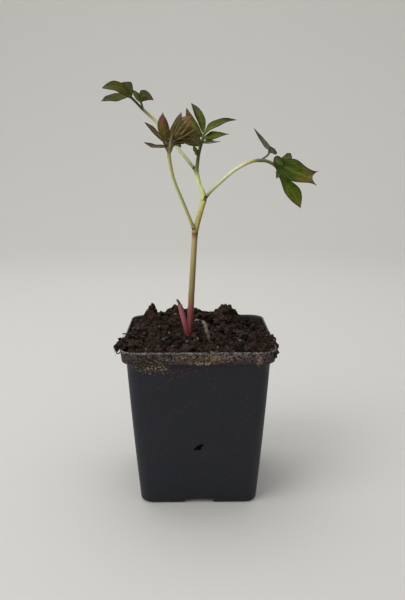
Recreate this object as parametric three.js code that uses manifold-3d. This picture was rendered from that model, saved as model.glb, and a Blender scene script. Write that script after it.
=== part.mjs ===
// A young peony plant in a square plastic nursery pot.
// Units are millimetres and +Z is up. The origin is the centre of the pot's underside.

import * as THREE from 'three';
import { mergeVertices } from 'three/addons/utils/BufferGeometryUtils.js';
import Module from 'manifold-3d';

const wasm = await Module();
wasm.setup();

// Driving dimensions of the pot. "Half" is half of a width across the flats, and "corner" is the
// radius of a corner in plan.
const POT_HEIGHT = 120;
const RIM_HALF = 55;
const RIM_CORNER = 11;
const COLLAR_HALF = 54.6;
const COLLAR_HEIGHT = 111.6;
const SHOULDER_HALF = 50.9;
const SHOULDER_CORNER = 10;
const SHOULDER_HEIGHT = 109;
const BASE_HALF = 43;
const BASE_CORNER = 9;
const BASE_ROUND = 4;
const BASE_ROUND_STEPS = 3;
const CORNER_STEPS = 5;
const WALL = 1.2;
const SHOULDER_RISE_INSIDE = 0.7;
const FLOOR = 1.6;

// Drain slot in the middle of each bottom edge.
const NOTCH_WIDTH = 21;
const NOTCH_HEIGHT = 3.5;
const NOTCH_DEPTH = 9;
const NOTCH_SLOPE = 1;

// Clearance between neighbouring pieces.
const GAP = 0.3;

// Driving dimensions of the soil.
const SOIL_LEVEL = 117.6;
const SOIL_EDGE_STEPS = 7;
const SOIL_RINGS = 13;
const SOIL_ROUGHNESS = 0.8;

// Heaps and hollows of the soil's surface: centre, reach and rise.
const SOIL_CLUMPS = [
  { at: [-38, 39], reach: 5, rise: 9 },
  { at: [-43, 35], reach: 7, rise: 4 },
  { at: [-27, 40], reach: 10, rise: 7.5 },
  { at: [-16, 38], reach: 6.5, rise: 9 },
  { at: [-4, 38], reach: 9, rise: 8.5 },
  { at: [9, 39], reach: 7, rise: 6 },
  { at: [21, 38], reach: 8, rise: 14.5 },
  { at: [31, 36], reach: 6, rise: 5 },
  { at: [46, -24], reach: 15, rise: 5 },
  { at: [-46, -34], reach: 12, rise: 4.5 },
  { at: [0, -52], reach: 14, rise: 1.5 },
  { at: [-20, 6], reach: 8, rise: -3 },
  { at: [3, 5], reach: 5, rise: -3 },
];

// Driving dimensions of the stem. It stands on the root crown, and STEM_FOOT is just clear of
// the soil.
const CROWN_TOP = 97;
const STEM_FOOT = [-6.5, -6, 121];
const STEM_RADIUS = 2.05;
const SHOOT_START = [-6.4, -6.5, 113.5];
const SHOOT_TIP = [-14.6, -8, 146.3];
const SHOOT_RADIUS = 1.75;
const SHOOT_CUT = 2;
const STALK_RADIUS = 1.1;
const BAR_SIDES = 8;

// Joints of the stem from the lowest leaf stalk up, forks that the stalks end in, and ends of the
// ribs that branch from the forks.
const JOINT_LOW = [-2.1, -4, 197];
const JOINT_MIDDLE = [4.2, -2, 220];
const JOINT_HIGH = [-1, 0, 241];
const FORK_LEFT = [-19.3, -21, 258];
const FORK_RIGHT = [44.2, -9, 248.4];
const FORK_BACK = [-40.7, 20, 285.6];
const RIGHT_UPPER = [51, -2, 255.1];
const RIGHT_END = [53.6, -13.8, 245.6];
const BACK_OUTER = [-48.5, 16, 293.5];
const BACK_INNER = [-42.4, 27, 291];
const TOP_START = [0.3, 1, 251];
const TOP_END = [4.2, 4, 265.8];

// Lines of the stem and of its leaf stalks.
const SHAFT = [STEM_FOOT, [-5.4, -5.5, 138], [-4.3, -5, 157.5], [-3.2, -4.5, 177], JOINT_LOW];
const STALK_LEFT = [JOINT_LOW, [-9.5, -9, 216], [-17, -15, 235], [-20, -20, 254], FORK_LEFT];
const STALK_RIGHT = [
  JOINT_MIDDLE, [10.3, -3, 227.5], [16.4, -5, 233.2], [25.1, -7, 240.8], [32, -8, 245],
  [41.9, -9, 248.4], FORK_RIGHT,
];
const STALK_BACK = [JOINT_HIGH, [-14.5, 8, 257.4], [-29.3, 16, 275], FORK_BACK];

// Blades: thickness, cells along and across, half width of the blunt base and tip, and height of
// the waves in the edge.
const BLADE_THICKNESS = 0.75;
const BLADE_LENGTH_CELLS = 8;
const BLADE_WIDTH_CELLS = 4;
const BLADE_STUB = 0.3;
const BLADE_WAVE = 0.25;

// Each leaf has knobs, ribs and leaflets, and its first knob sits on the stalk. A leaflet has its
// two ends, its half width, the side that its upper face looks to, how far its rib arches to that
// side and bows across, the fold of its halves in degrees, and two powers that set where it is
// widest.
const LEAF_LEFT = {
  knobs: [{ centre: FORK_LEFT, radius: 1.9, stretch: 1.4 }],
  ribs: [],
  leaflets: [
    { base: [-20, -21, 258], tip: [-36, -32, 260], half: 3.6, face: [0, 0.35, 1],
      arch: -1, bow: 0, fold: 15, near: 1.2, far: 1 },
    { base: [-20, -20, 258.5], tip: [-37, -12, 274.5], half: 4.2, face: [0.75, -0.5, 0.5],
      arch: -1, bow: 0, fold: 30, near: 1.1, far: 1 },
    { base: [-19.5, -22, 259], tip: [-23.5, -32, 279.5], half: 4.4, face: [0.15, 1, 0.2],
      arch: 1.2, bow: -2, fold: 14, near: 0.95, far: 1 },
    { base: [-18.5, -22, 259], tip: [-11.5, -27, 280], half: 3.9, face: [-0.55, 1, 0],
      arch: 1.5, bow: 1.5, fold: 20, near: 1, far: 1 },
    { base: [-18, -21, 259], tip: [-5, -21, 278], half: 5.2, face: [-0.1, 1, -0.1],
      arch: 1, bow: -1, fold: 12, near: 0.9, far: 0.8 },
    { base: [-19, -19.5, 258], tip: [-12.3, -4, 257.5], half: 3, face: [0, 0, 1],
      arch: 1, bow: 0, fold: 15, near: 1, far: 1 },
  ],
};
const LEAF_RIGHT = {
  knobs: [
    { centre: FORK_RIGHT, radius: 1.4 },
    { centre: RIGHT_UPPER, radius: 1.2 },
    { centre: RIGHT_END, radius: 1.9 },
  ],
  ribs: [
    { line: [FORK_RIGHT, [48.5, -6, 250.6], RIGHT_UPPER], radius: 0.9 },
    { line: [FORK_RIGHT, [48.5, -11.5, 248], RIGHT_END], radius: 1.05 },
  ],
  leaflets: [
    { base: [51.3, -2, 255], tip: [41.6, 10, 271.6], half: 3, face: [-0.85, -0.4, -0.5],
      arch: -1.2, bow: 0, fold: 20, near: 0.8, far: 1.3 },
    { base: [50.8, -2, 255.3], tip: [58.8, 12, 252.5], half: 3.2, face: [-0.3, -0.2, 1],
      arch: 1, bow: 0, fold: 20, near: 0.9, far: 0.6 },
    { base: [53.3, -14, 246], tip: [83.6, -20, 241], half: 4.8, face: [0.1, -0.8, 0.6],
      arch: 1.6, bow: -1.2, fold: 8, near: 0.8, far: 1 },
    { base: [53.3, -14, 246], tip: [80.5, -26, 232.7], half: 5, face: [0.1, -0.8, 0.6],
      arch: 1, bow: -1.6, fold: 8, near: 0.7, far: 0.9 },
    { base: [53.3, -14, 246], tip: [79.5, -23, 238], half: 4, face: [0.1, -0.8, 0.6],
      arch: 1.3, bow: -1.3, fold: 6, near: 0.7, far: 0.5 },
    { base: [54, -14, 245], tip: [71.8, -24, 216], half: 6.4, face: [0.2, -0.9, 0.4],
      arch: 0, bow: 1.2, fold: 12, near: 1.3, far: 0.7 },
    { base: [53.3, -14, 246], tip: [65.5, 3, 254], half: 3.8, face: [-0.2, -0.5, 0.8],
      arch: 0, bow: -1, fold: 12, near: 0.9, far: 0.4 },
    { base: [53.3, -14, 246], tip: [58.5, -25, 250], half: 3.4, face: [-0.5, -0.2, 0.8],
      arch: 2, bow: 0, fold: 12, near: 0.8, far: 0.7 },
    { base: [54.3, -13, 244.6], tip: [58, 4, 235], half: 3.2, face: [0.5, -0.8, 0.2],
      arch: 0, bow: 0, fold: 12, near: 0.9, far: 0.7 },
  ],
};
const LEAF_BACK = {
  knobs: [
    { centre: FORK_BACK, radius: 1.4 },
    { centre: BACK_OUTER, radius: 1.5 },
    { centre: BACK_INNER, radius: 1.3 },
  ],
  ribs: [
    { line: [FORK_BACK, BACK_OUTER], radius: 1.1 },
    { line: [FORK_BACK, BACK_INNER], radius: 0.85 },
  ],
  leaflets: [
    { base: BACK_OUTER, tip: [-68, 4, 298.5], half: 4.9, face: [0, -0.8, 0.6],
      arch: 5, bow: 0, fold: 4, near: 0.7, far: 0.8 },
    { base: BACK_OUTER, tip: [-67, -2, 289.4], half: 4.2, face: [0, -0.7, 0.7],
      arch: 2.6, bow: 0, fold: 8, near: 0.8, far: 0.9 },
    { base: BACK_OUTER, tip: [-53, 29, 306], half: 4.2, face: [0, -0.6, 0.6],
      arch: 0, bow: 1.5, fold: 8, near: 0.7, far: 0.6 },
    { base: BACK_INNER, tip: [-33, 22, 293], half: 3.6, face: [0, 1, 0.2],
      arch: 0, bow: -4.2, fold: 10, near: 0.7, far: 0.8 },
    { base: BACK_INNER, tip: [-48.5, 34, 301.7], half: 2.6, face: [0, -0.6, 0.6],
      arch: 0, bow: 0, fold: 14, near: 0.8, far: 0.9 },
  ],
};
const LEAF_CENTRE = {
  knobs: [{ centre: TOP_END, radius: 1.8 }],
  ribs: [{ line: [TOP_START, [2, 2, 258.5], TOP_END], radius: 1.2 }],
  leaflets: [
    { base: [4, 4, 266.5], tip: [-4.7, 12, 289.6], half: 3.4, face: [0.25, -1, 0.2],
      arch: 0, bow: -1.6, fold: 14, near: 0.9, far: 0.9 },
    { base: [4.5, 4, 266], tip: [27.5, 0, 277], half: 3.6, face: [0, -0.6, 0.8],
      arch: 3.5, bow: 0, fold: 20, near: 0.7, far: 1 },
    { base: [4, 3, 264.5], tip: [21.6, -12, 266.5], half: 4.2, face: [0, -0.85, 0.5],
      arch: 0, bow: -0.6, fold: 16, near: 0.8, far: 1.1 },
    { base: [2.8, 2.2, 261], tip: [15.5, -14, 261.4], half: 4.4, face: [0, -0.5, 0.9],
      arch: -0.6, bow: 0, fold: 16, near: 0.5, far: 1.6 },
    { base: [4, 5, 265], tip: [-7.8, -2, 285], half: 5.2, face: [0.1, 1, 0],
      arch: 0, bow: -3, fold: 12, near: 0.9, far: 1 },
    { base: [2, 2, 259], tip: [-16, 0, 262], half: 5.6, face: [0, 1, 0.4],
      arch: 0, bow: 3.8, fold: 16, near: 0.7, far: 1 },
    { base: [0.9, 0.8, 252.4], tip: [-3, -3, 258.5], half: 1.6, face: [0.6, 1, 0.3],
      arch: 0, bow: 0, fold: 10, near: 1, far: 1 },
  ],
};

// Crown and tuberous roots. A root has its length, its lean from the vertical and its turn about
// the vertical, in degrees.
const CROWN_RADIUS = 8.5;
const CROWN_DEPTH = 17;
const ROOT_RADIUS = 4.6;
const ROOTS = [
  { length: 50, lean: 24, turn: 20 },
  { length: 44, lean: 40, turn: 95 },
  { length: 52, lean: 30, turn: 165 },
  { length: 42, lean: 44, turn: 230 },
  { length: 48, lean: 34, turn: 305 },
];

// Old stub of a shoot, standing obliquely in the soil.
const STUB_LINE = [[11.1, -19.2, 110.9], [7.6, -11.4, 121], [3.4, -2, 129.3]];
const STUB_RADIUS = 1.2;

// Finishes.
const POT_PLASTIC = new THREE.MeshStandardMaterial({ color: 0x2b2d32, roughness: 0.5, metalness: 0 });
const PEAT = new THREE.MeshStandardMaterial({ color: 0x2a211d, roughness: 1, metalness: 0 });
const ROOT_SKIN = new THREE.MeshStandardMaterial({ color: 0x6b4a34, roughness: 0.9, metalness: 0 });
const STEM_SKIN = new THREE.MeshStandardMaterial({ color: 0x8f8348, roughness: 0.5, metalness: 0 });
const LEAF_SKIN = new THREE.MeshStandardMaterial({ color: 0x3c4420, roughness: 0.45, metalness: 0 });
const DRY_STALK = new THREE.MeshStandardMaterial({ color: 0x8c8472, roughness: 0.9, metalness: 0 });

const UP = new THREE.Vector3(0, 0, 1);
const LATHE_AXIS = new THREE.Vector3(0, 1, 0);

const vector = (point) => new THREE.Vector3(...point);
const radians = THREE.MathUtils.degToRad;

// Turns a closed geometry into a solid that can be joined and cut.
function toSolid(geometry) {
  geometry.deleteAttribute('normal');
  geometry.deleteAttribute('uv');
  const merged = mergeVertices(geometry, 1e-4);
  const mesh = new wasm.Mesh({
    numProp: 3,
    vertProperties: merged.attributes.position.array,
    triVerts: Uint32Array.from(merged.index.array),
  });
  return new wasm.Manifold(mesh);
}

// Turns a solid back into a named mesh with a finish.
function toMesh(name, solid, material) {
  const { vertProperties, triVerts } = solid.getMesh();
  const geometry = new THREE.BufferGeometry();
  geometry.setAttribute('position', new THREE.Float32BufferAttribute(vertProperties, 3));
  geometry.setIndex(Array.from(triVerts));
  geometry.computeVertexNormals();
  const mesh = new THREE.Mesh(geometry, material);
  mesh.name = name;
  return mesh;
}

function fuse(solids) {
  return solids.reduce((joined, solid) => joined.add(solid));
}

function geometryOf(points, index) {
  const geometry = new THREE.BufferGeometry().setFromPoints(points);
  geometry.setIndex(index);
  return geometry;
}

// A closed body through a list of rings with equal numbers of points. The first and the last ring
// are each closed by a fan about a middle point.
function loft(rings, firstMiddle, lastMiddle) {
  const count = rings[0].length;
  const index = [];
  for (let ring = 0; ring < rings.length - 1; ring += 1) {
    for (let i = 0; i < count; i += 1) {
      const a = ring * count + i;
      const b = ring * count + (i + 1) % count;
      index.push(a, b, b + count, a, b + count, a + count);
    }
  }
  const first = rings.length * count;
  const lastRing = first - count;
  for (let i = 0; i < count; i += 1) {
    const next = (i + 1) % count;
    index.push(first, next, i, first + 1, lastRing + i, lastRing + next);
  }
  return toSolid(geometryOf([...rings.flat(), firstMiddle, lastMiddle], index));
}

// A square outline with rounded corners, counter-clockwise, with each straight edge divided.
function squareRing(half, corner, height, edgeSteps = 1) {
  const points = [];
  const reach = half - corner;
  for (let quarter = 0; quarter < 4; quarter += 1) {
    const turn = quarter * Math.PI / 2;
    const centre = new THREE.Vector3(reach, reach, height).applyAxisAngle(UP, turn);
    for (let step = 0; step <= CORNER_STEPS; step += 1) {
      const angle = turn + step / CORNER_STEPS * Math.PI / 2;
      points.push(new THREE.Vector3(corner * Math.cos(angle), corner * Math.sin(angle), 0).add(centre));
    }
    const start = points.at(-1);
    const end = new THREE.Vector3(-reach, half, height).applyAxisAngle(UP, turn);
    for (let step = 1; step < edgeSteps; step += 1) {
      points.push(start.clone().lerp(end, step / edgeSteps));
    }
  }
  return points;
}

// Half width and corner radius of the pot's outside where the rounded foot meets the wall.
function footOfWall() {
  const share = BASE_ROUND / SHOULDER_HEIGHT;
  return {
    half: THREE.MathUtils.lerp(BASE_HALF, SHOULDER_HALF, share),
    corner: THREE.MathUtils.lerp(BASE_CORNER, SHOULDER_CORNER, share),
  };
}

// Sections of the pot's inside, from the floor up, drawn in by a clearance.
function insideRings(clearance, edgeSteps) {
  const foot = footOfWall();
  const inset = WALL + clearance;
  return [
    [foot.half - BASE_ROUND - clearance, foot.corner - BASE_ROUND, FLOOR + clearance],
    [foot.half - inset, foot.corner - WALL, BASE_ROUND + clearance],
    [SHOULDER_HALF - inset, SHOULDER_CORNER - WALL, SHOULDER_HEIGHT + SHOULDER_RISE_INSIDE],
    [COLLAR_HALF - inset, RIM_CORNER - WALL, COLLAR_HEIGHT + SHOULDER_RISE_INSIDE],
  ].map(([half, corner, height]) => squareRing(half, corner, height, edgeSteps));
}

// The drain slot in one bottom edge, narrower at its top.
function makeNotch(turn) {
  const foot = NOTCH_WIDTH / 2;
  const top = foot - NOTCH_SLOPE;
  const outline = new THREE.Shape();
  outline.moveTo(-foot, -1).lineTo(foot, -1).lineTo(top, NOTCH_HEIGHT).lineTo(-top, NOTCH_HEIGHT);
  const slot = new THREE.ExtrudeGeometry(outline, { depth: NOTCH_DEPTH, bevelEnabled: false });
  slot.rotateX(Math.PI / 2);
  slot.translate(0, NOTCH_DEPTH - BASE_HALF - 1, 0);
  slot.rotateZ(turn);
  return toSolid(slot);
}

// One thin cup, up its outside, over the rim and down its inside.
function makePot() {
  const foot = footOfWall();
  const rings = [];
  for (let step = 0; step <= BASE_ROUND_STEPS; step += 1) {
    const angle = step / BASE_ROUND_STEPS * Math.PI / 2;
    const inset = BASE_ROUND * (1 - Math.sin(angle));
    const height = BASE_ROUND * (1 - Math.cos(angle));
    rings.push(squareRing(foot.half - inset, foot.corner - inset, height));
  }
  rings.push(squareRing(SHOULDER_HALF, SHOULDER_CORNER, SHOULDER_HEIGHT));
  rings.push(squareRing(COLLAR_HALF, RIM_CORNER, COLLAR_HEIGHT));
  rings.push(squareRing(RIM_HALF, RIM_CORNER, POT_HEIGHT));
  rings.push(squareRing(RIM_HALF - WALL, RIM_CORNER - WALL, POT_HEIGHT));
  rings.push(...insideRings(0, 1).reverse());
  const cup = loft(rings, vector([0, 0, 0]), vector([0, 0, FLOOR]));
  const turns = [0, 1, 2, 3].map((side) => side * Math.PI / 2);
  return turns.reduce((pot, turn) => pot.subtract(makeNotch(turn)), cup);
}

// Height of the soil's surface: its level, the heaps and hollows, and a small roughness.
function soilHeight(x, y) {
  const heaps = SOIL_CLUMPS.map(({ at, reach, rise }) => (
    rise * Math.exp(-((x - at[0]) ** 2 + (y - at[1]) ** 2) / reach ** 2)
  ));
  const coarse = Math.sin(0.52 * x + 1.3) * Math.sin(0.6 * y + 0.4);
  const slanted = 0.6 * Math.sin(0.4 * x - 0.5 * y);
  const rough = SOIL_ROUGHNESS * (coarse + slanted);
  return SOIL_LEVEL + heaps.reduce((sum, heap) => sum + heap, 0) + rough;
}

// The filling with its heaped surface, before what stands in it is cut out.
function makeFilling() {
  const rings = insideRings(GAP, SOIL_EDGE_STEPS);
  const half = COLLAR_HALF - WALL - GAP;
  for (let ring = 0; ring < SOIL_RINGS; ring += 1) {
    const share = 1 - ring / SOIL_RINGS;
    const outline = squareRing(half * share, (RIM_CORNER - WALL) * share, 0, SOIL_EDGE_STEPS);
    outline.forEach((point) => point.setZ(soilHeight(point.x, point.y)));
    rings.push(outline);
  }
  return loft(rings, vector([0, 0, FLOOR + GAP]), vector([0, 0, soilHeight(0, 0)]));
}

// A round bar of one thickness along a smooth line of points.
function bar(points, radius, steps) {
  const curve = new THREE.CatmullRomCurve3(points.map(vector));
  const section = new THREE.Shape().absarc(0, 0, radius, 0, 2 * Math.PI);
  return toSolid(new THREE.ExtrudeGeometry(section, {
    steps, extrudePath: curve, curveSegments: BAR_SIDES / 2, bevelEnabled: false,
  }));
}

// A ball, or an upright egg where stretch isn't 1, larger all over by a clearance.
function knob({ centre, radius, stretch = 1 }, clearance = 0) {
  const ball = new THREE.SphereGeometry(radius + clearance, 10, 6);
  ball.rotateX(Math.PI / 2);
  ball.scale(1, 1, stretch);
  ball.translate(...centre);
  return toSolid(ball);
}

// A body turned about a line that starts at a point and runs in a direction. The outline holds
// places along the line with their radii, and all of it grows by the clearance.
function spindle(outline, start, direction, clearance) {
  const last = outline.length - 1;
  const profile = outline.map(([place, radius], i) => {
    const ends = (i === last ? clearance : 0) - (i === 0 ? clearance : 0);
    return new THREE.Vector2(radius === 0 ? 0 : radius + clearance, place + ends);
  });
  const body = new THREE.LatheGeometry(profile, BAR_SIDES);
  body.applyQuaternion(new THREE.Quaternion().setFromUnitVectors(LATHE_AXIS, direction));
  body.translate(...start);
  return toSolid(body);
}

// One tuberous root that runs out and down from the middle of the crown.
function makeRoot({ length, lean, turn }, clearance) {
  const outline = [
    [0, 0], [1, 0.5 * ROOT_RADIUS], [0.3 * length, ROOT_RADIUS], [0.6 * length, 0.75 * ROOT_RADIUS],
    [0.9 * length, 0.3 * ROOT_RADIUS], [length, 0],
  ];
  const outward = Math.sin(radians(lean));
  const direction = new THREE.Vector3(
    outward * Math.cos(radians(turn)), outward * Math.sin(radians(turn)), -Math.cos(radians(lean)),
  );
  const [x, y] = STEM_FOOT;
  return spindle(outline, [x, y, CROWN_TOP - 0.55 * CROWN_DEPTH], direction, clearance);
}

// The crown with its tuberous roots.
function makeRootCrown(clearance) {
  const outline = [
    [0, 0], [0.05 * CROWN_DEPTH, 0.6 * CROWN_RADIUS], [0.4 * CROWN_DEPTH, CROWN_RADIUS],
    [0.75 * CROWN_DEPTH, 0.7 * CROWN_RADIUS], [CROWN_DEPTH, 0.3 * CROWN_RADIUS], [CROWN_DEPTH, 0],
  ];
  const [x, y] = STEM_FOOT;
  const crown = spindle(outline, [x, y, CROWN_TOP - CROWN_DEPTH], UP, clearance);
  return fuse([crown, ...ROOTS.map((root) => makeRoot(root, clearance))]);
}

// The foot of the stem with the side shoot, whose tip is cut off at a slant.
function makeStemFoot(clearance) {
  const [x, y] = STEM_FOOT;
  const foot = bar([[x, y, CROWN_TOP + GAP - clearance], STEM_FOOT], STEM_RADIUS + clearance, 1);
  const shoot = bar([SHOOT_START, SHOOT_TIP], SHOOT_RADIUS + clearance, 1);
  const cutNormal = new THREE.Vector3(-0.6, 0, -0.8);
  const cutOffset = cutNormal.dot(vector(SHOOT_TIP)) - SHOOT_CUT * cutNormal.z;
  return fuse([foot, shoot.trimByPlane(cutNormal.toArray(), cutOffset)]);
}

// The stem from the crown up, with its swollen joints and the leaf stalks.
function makeStem() {
  const topEnd = vector(TOP_START).lerp(vector(JOINT_HIGH), GAP / 10).toArray();
  return fuse([
    makeStemFoot(0),
    bar(SHAFT, STEM_RADIUS, 6),
    bar([JOINT_LOW, [1.2, -3, 209.5], JOINT_MIDDLE], 2, 3),
    bar([JOINT_MIDDLE, [1.2, -1, 231], JOINT_HIGH], 1.5, 3),
    bar([JOINT_HIGH, topEnd], 1.2, 1),
    bar(STALK_LEFT, STALK_RADIUS, 8),
    bar(STALK_RIGHT, STALK_RADIUS, 10),
    bar(STALK_BACK, 0.95 * STALK_RADIUS, 6),
    knob({ centre: JOINT_LOW, radius: 2.6 }),
    knob({ centre: JOINT_MIDDLE, radius: 2.4 }),
    knob({ centre: JOINT_HIGH, radius: 2 }),
  ]);
}

// A closed sheet over a grid of places. Both of its faces are split into triangles alike.
function sheet(placeAt, lengthCells, widthCells, thickness) {
  const columns = widthCells + 1;
  const rows = lengthCells + 1;
  const upper = [];
  const lower = [];
  for (let i = 0; i < rows; i += 1) {
    for (let j = 0; j < columns; j += 1) {
      const { point, normal } = placeAt(i / lengthCells, 2 * j / widthCells - 1);
      upper.push(point.clone().addScaledVector(normal, thickness / 2));
      lower.push(point.clone().addScaledVector(normal, -thickness / 2));
    }
  }
  const under = rows * columns;
  const index = [];
  const wall = (a, b) => index.push(a, a + under, b, b, a + under, b + under);
  for (let i = 0; i < lengthCells; i += 1) {
    const row = i * columns;
    const nextRow = row + columns;
    for (let j = 0; j < widthCells; j += 1) {
      const a = row + j;
      const c = nextRow + j;
      index.push(a, c, a + 1, a + 1, c, c + 1);
      index.push(a + under, a + 1 + under, c + under, a + 1 + under, c + 1 + under, c + under);
    }
    wall(row, nextRow);
    wall(nextRow + widthCells, row + widthCells);
  }
  for (let j = 0; j < widthCells; j += 1) {
    wall(j + 1, j);
    wall(lengthCells * columns + j, lengthCells * columns + j + 1);
  }
  return toSolid(geometryOf([...upper, ...lower], index));
}

// One leaflet: a folded, arched blade with waved edges.
function makeLeaflet({ base, tip, half, face, arch, bow, fold, near, far }) {
  const start = vector(base);
  const chord = vector(tip).sub(start);
  const normal = vector(face).projectOnPlane(chord.clone().normalize()).normalize();
  const side = new THREE.Vector3().crossVectors(normal, chord).normalize();
  const widest = near / (near + far);
  const peak = widest ** near * (1 - widest) ** far;
  const lift = Math.sin(radians(fold));
  const spread = Math.cos(radians(fold));
  const placeAt = (u, v) => {
    const hump = 4 * u * (1 - u);
    const slope = 4 * (1 - 2 * u);
    const along = chord.clone().addScaledVector(normal, arch * slope).addScaledVector(side, bow * slope);
    const up = normal.clone().projectOnPlane(along.normalize()).normalize();
    const across = new THREE.Vector3().crossVectors(up, along);
    const width = Math.max(half * u ** near * (1 - u) ** far / peak, BLADE_STUB);
    const wave = BLADE_WAVE * Math.sin(4 * Math.PI * u) * v * v * width / half;
    const point = start.clone().addScaledVector(chord, u)
      .addScaledVector(normal, arch * hump).addScaledVector(side, bow * hump)
      .addScaledVector(across, width * v * spread)
      .addScaledVector(up, width * Math.abs(v) * lift + wave);
    return { point, normal: up };
  };
  return sheet(placeAt, BLADE_LENGTH_CELLS, BLADE_WIDTH_CELLS, BLADE_THICKNESS);
}

function makeLeaf({ knobs, ribs, leaflets }) {
  return fuse([
    ...knobs.map((ball) => knob(ball)),
    ...ribs.map(({ line, radius }) => bar(line, radius, 4)),
    ...leaflets.map(makeLeaflet),
  ]);
}

// The stem without the room that the forks at the ends of its stalks take up.
function makeSeatedStem() {
  const seats = [LEAF_LEFT, LEAF_RIGHT, LEAF_BACK].map((leaf) => knob(leaf.knobs[0], GAP));
  return makeStem().subtract(fuse(seats));
}

const makeStub = (clearance) => bar(STUB_LINE, STUB_RADIUS + clearance, 3);

// The soil with plain holes for what stands in it.
function makeSoil() {
  return makeFilling().subtract(fuse([makeStemFoot(GAP), makeRootCrown(GAP), makeStub(GAP)]));
}

const filledPot = new THREE.Group();
filledPot.add(
  toMesh('pot', makePot(), POT_PLASTIC),
  toMesh('soil', makeSoil(), PEAT),
  toMesh('old_stub', makeStub(0), DRY_STALK),
);

const plant = new THREE.Group();
plant.add(
  toMesh('root_crown', makeRootCrown(0), ROOT_SKIN),
  toMesh('stem', makeSeatedStem(), STEM_SKIN),
  toMesh('leaf_left', makeLeaf(LEAF_LEFT), LEAF_SKIN),
  toMesh('leaf_right', makeLeaf(LEAF_RIGHT), LEAF_SKIN),
  toMesh('leaf_back', makeLeaf(LEAF_BACK), LEAF_SKIN),
  toMesh('leaf_centre', makeLeaf(LEAF_CENTRE), LEAF_SKIN),
);

const pottedPeony = new THREE.Group();
pottedPeony.add(filledPot, plant);

export default pottedPeony;
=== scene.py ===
"""A young peony plant in a square nursery pot: its fine forms, its finishes and a plain studio.

Sizes and places are written in millimetres, and mm() turns them to metres. +Z is up, and -Y is the
side that the camera sees. The pot's main sizes come from the frame, and the points of the plant
repeat the ones that its solids are made from.
"""

import logging
import math
import random
from collections.abc import Sequence
from dataclasses import dataclass, field
from enum import Enum
from typing import Any

import bmesh
import bpy
from mathutils import Matrix, Quaternion, Vector, kdtree, noise


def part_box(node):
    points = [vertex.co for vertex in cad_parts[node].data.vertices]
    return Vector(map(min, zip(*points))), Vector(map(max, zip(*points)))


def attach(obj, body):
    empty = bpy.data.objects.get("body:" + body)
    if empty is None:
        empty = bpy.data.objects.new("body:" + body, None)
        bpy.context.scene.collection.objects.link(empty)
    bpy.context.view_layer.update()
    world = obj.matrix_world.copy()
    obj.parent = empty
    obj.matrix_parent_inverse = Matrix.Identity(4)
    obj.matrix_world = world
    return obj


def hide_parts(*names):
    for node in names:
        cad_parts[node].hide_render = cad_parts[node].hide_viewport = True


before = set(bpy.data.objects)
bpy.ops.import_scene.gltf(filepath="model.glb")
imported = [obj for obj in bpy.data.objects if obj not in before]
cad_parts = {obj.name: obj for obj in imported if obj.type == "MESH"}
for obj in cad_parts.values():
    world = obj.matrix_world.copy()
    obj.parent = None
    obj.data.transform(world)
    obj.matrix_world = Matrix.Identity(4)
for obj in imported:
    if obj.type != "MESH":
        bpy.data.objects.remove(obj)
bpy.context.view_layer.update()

LOG = logging.getLogger("peony")
MM = 0.001
BODY = "root"
UP = Vector((0.0, 0.0, 1.0))

# Inputs and output of a Mix node that mixes colours.
MIX_A, MIX_B, MIX_RESULT = 6, 7, 2

Point = tuple[float, float, float]
Colour = tuple[float, float, float, float]


def mm(point: Sequence[float]) -> Vector:
    """Turns a point in millimetres into metres."""
    return Vector(point) * MM


def to_linear(colour: str) -> Colour:
    """Turns an sRGB hex colour into linear red, green, blue and an alpha of 1.

    Args:
        colour: the colour, as #RRGGBB.

    Returns:
        The four linear values.
    """
    values = [int(colour[i:i + 2], 16) / 255 for i in (1, 3, 5)]
    red, green, blue = (v / 12.92 if v <= 0.04045 else ((v + 0.055) / 1.055) ** 2.4 for v in values)
    return red, green, blue, 1.0


def smoothstep(low: float, high: float, value: float) -> float:
    """Rises smoothly from 0 at low to 1 at high."""
    share = min(max((value - low) / (high - low), 0.0), 1.0)
    return share * share * (3 - 2 * share)


def smooth_line(points: Sequence[Vector], steps: int) -> list[Vector]:
    """Runs a smooth line through points, which may have more than three values each.

    Args:
        points: the places that the line passes, in order.
        steps: the number of pieces between each two of them.

    Returns:
        The places along the line, the first and the last point included.
    """
    ends = [2 * points[0] - points[1], *points, 2 * points[-1] - points[-2]]
    line = [points[0].copy()]
    for before, start, end, after in zip(ends, ends[1:], ends[2:], ends[3:]):
        for step in range(1, steps + 1):
            t = step / steps
            bend = (2 * before - 5 * start + 4 * end - after) * t ** 2
            swing = (3 * start - before - 3 * end + after) * t ** 3
            line.append(0.5 * (2 * start + (end - before) * t + bend + swing))
    return line


def add_node(
    tree: bpy.types.NodeTree, kind: str, inputs: dict[str | int, Any] | None = None, **settings: Any
) -> bpy.types.Node:
    """Adds a shader node with its settings, links and input values.

    Args:
        tree: the node tree that gets the node.
        kind: Blender's name for the node's type.
        inputs: for each input, by name or number, a socket to link it to or a value.
        settings: the node's own settings.

    Returns:
        The new node.
    """
    node = tree.nodes.new(kind)
    for name, value in settings.items():
        setattr(node, name, value)
    for key, value in (inputs or {}).items():
        if isinstance(value, bpy.types.NodeSocket):
            tree.links.new(value, node.inputs[key])
        else:
            node.inputs[key].default_value = value
    return node


@dataclass(frozen=True)
class Finish:
    """A named finish. Each kind of finish builds its own material from its fields."""

    name: str

    def start(self) -> tuple[bpy.types.Material, bpy.types.NodeTree]:
        """Makes an empty node material of this finish's name."""
        material = bpy.data.materials.new(self.name)
        material.use_nodes = True
        material.node_tree.nodes.clear()
        return material, material.node_tree


@dataclass(frozen=True)
class Stain:
    """A patch of dried peat or dirt on the pot: an oval, its colour and how much of it is covered."""

    centre: Point
    reach: Point
    colour: str
    cover: float
    slant: float = 0.0


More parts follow.
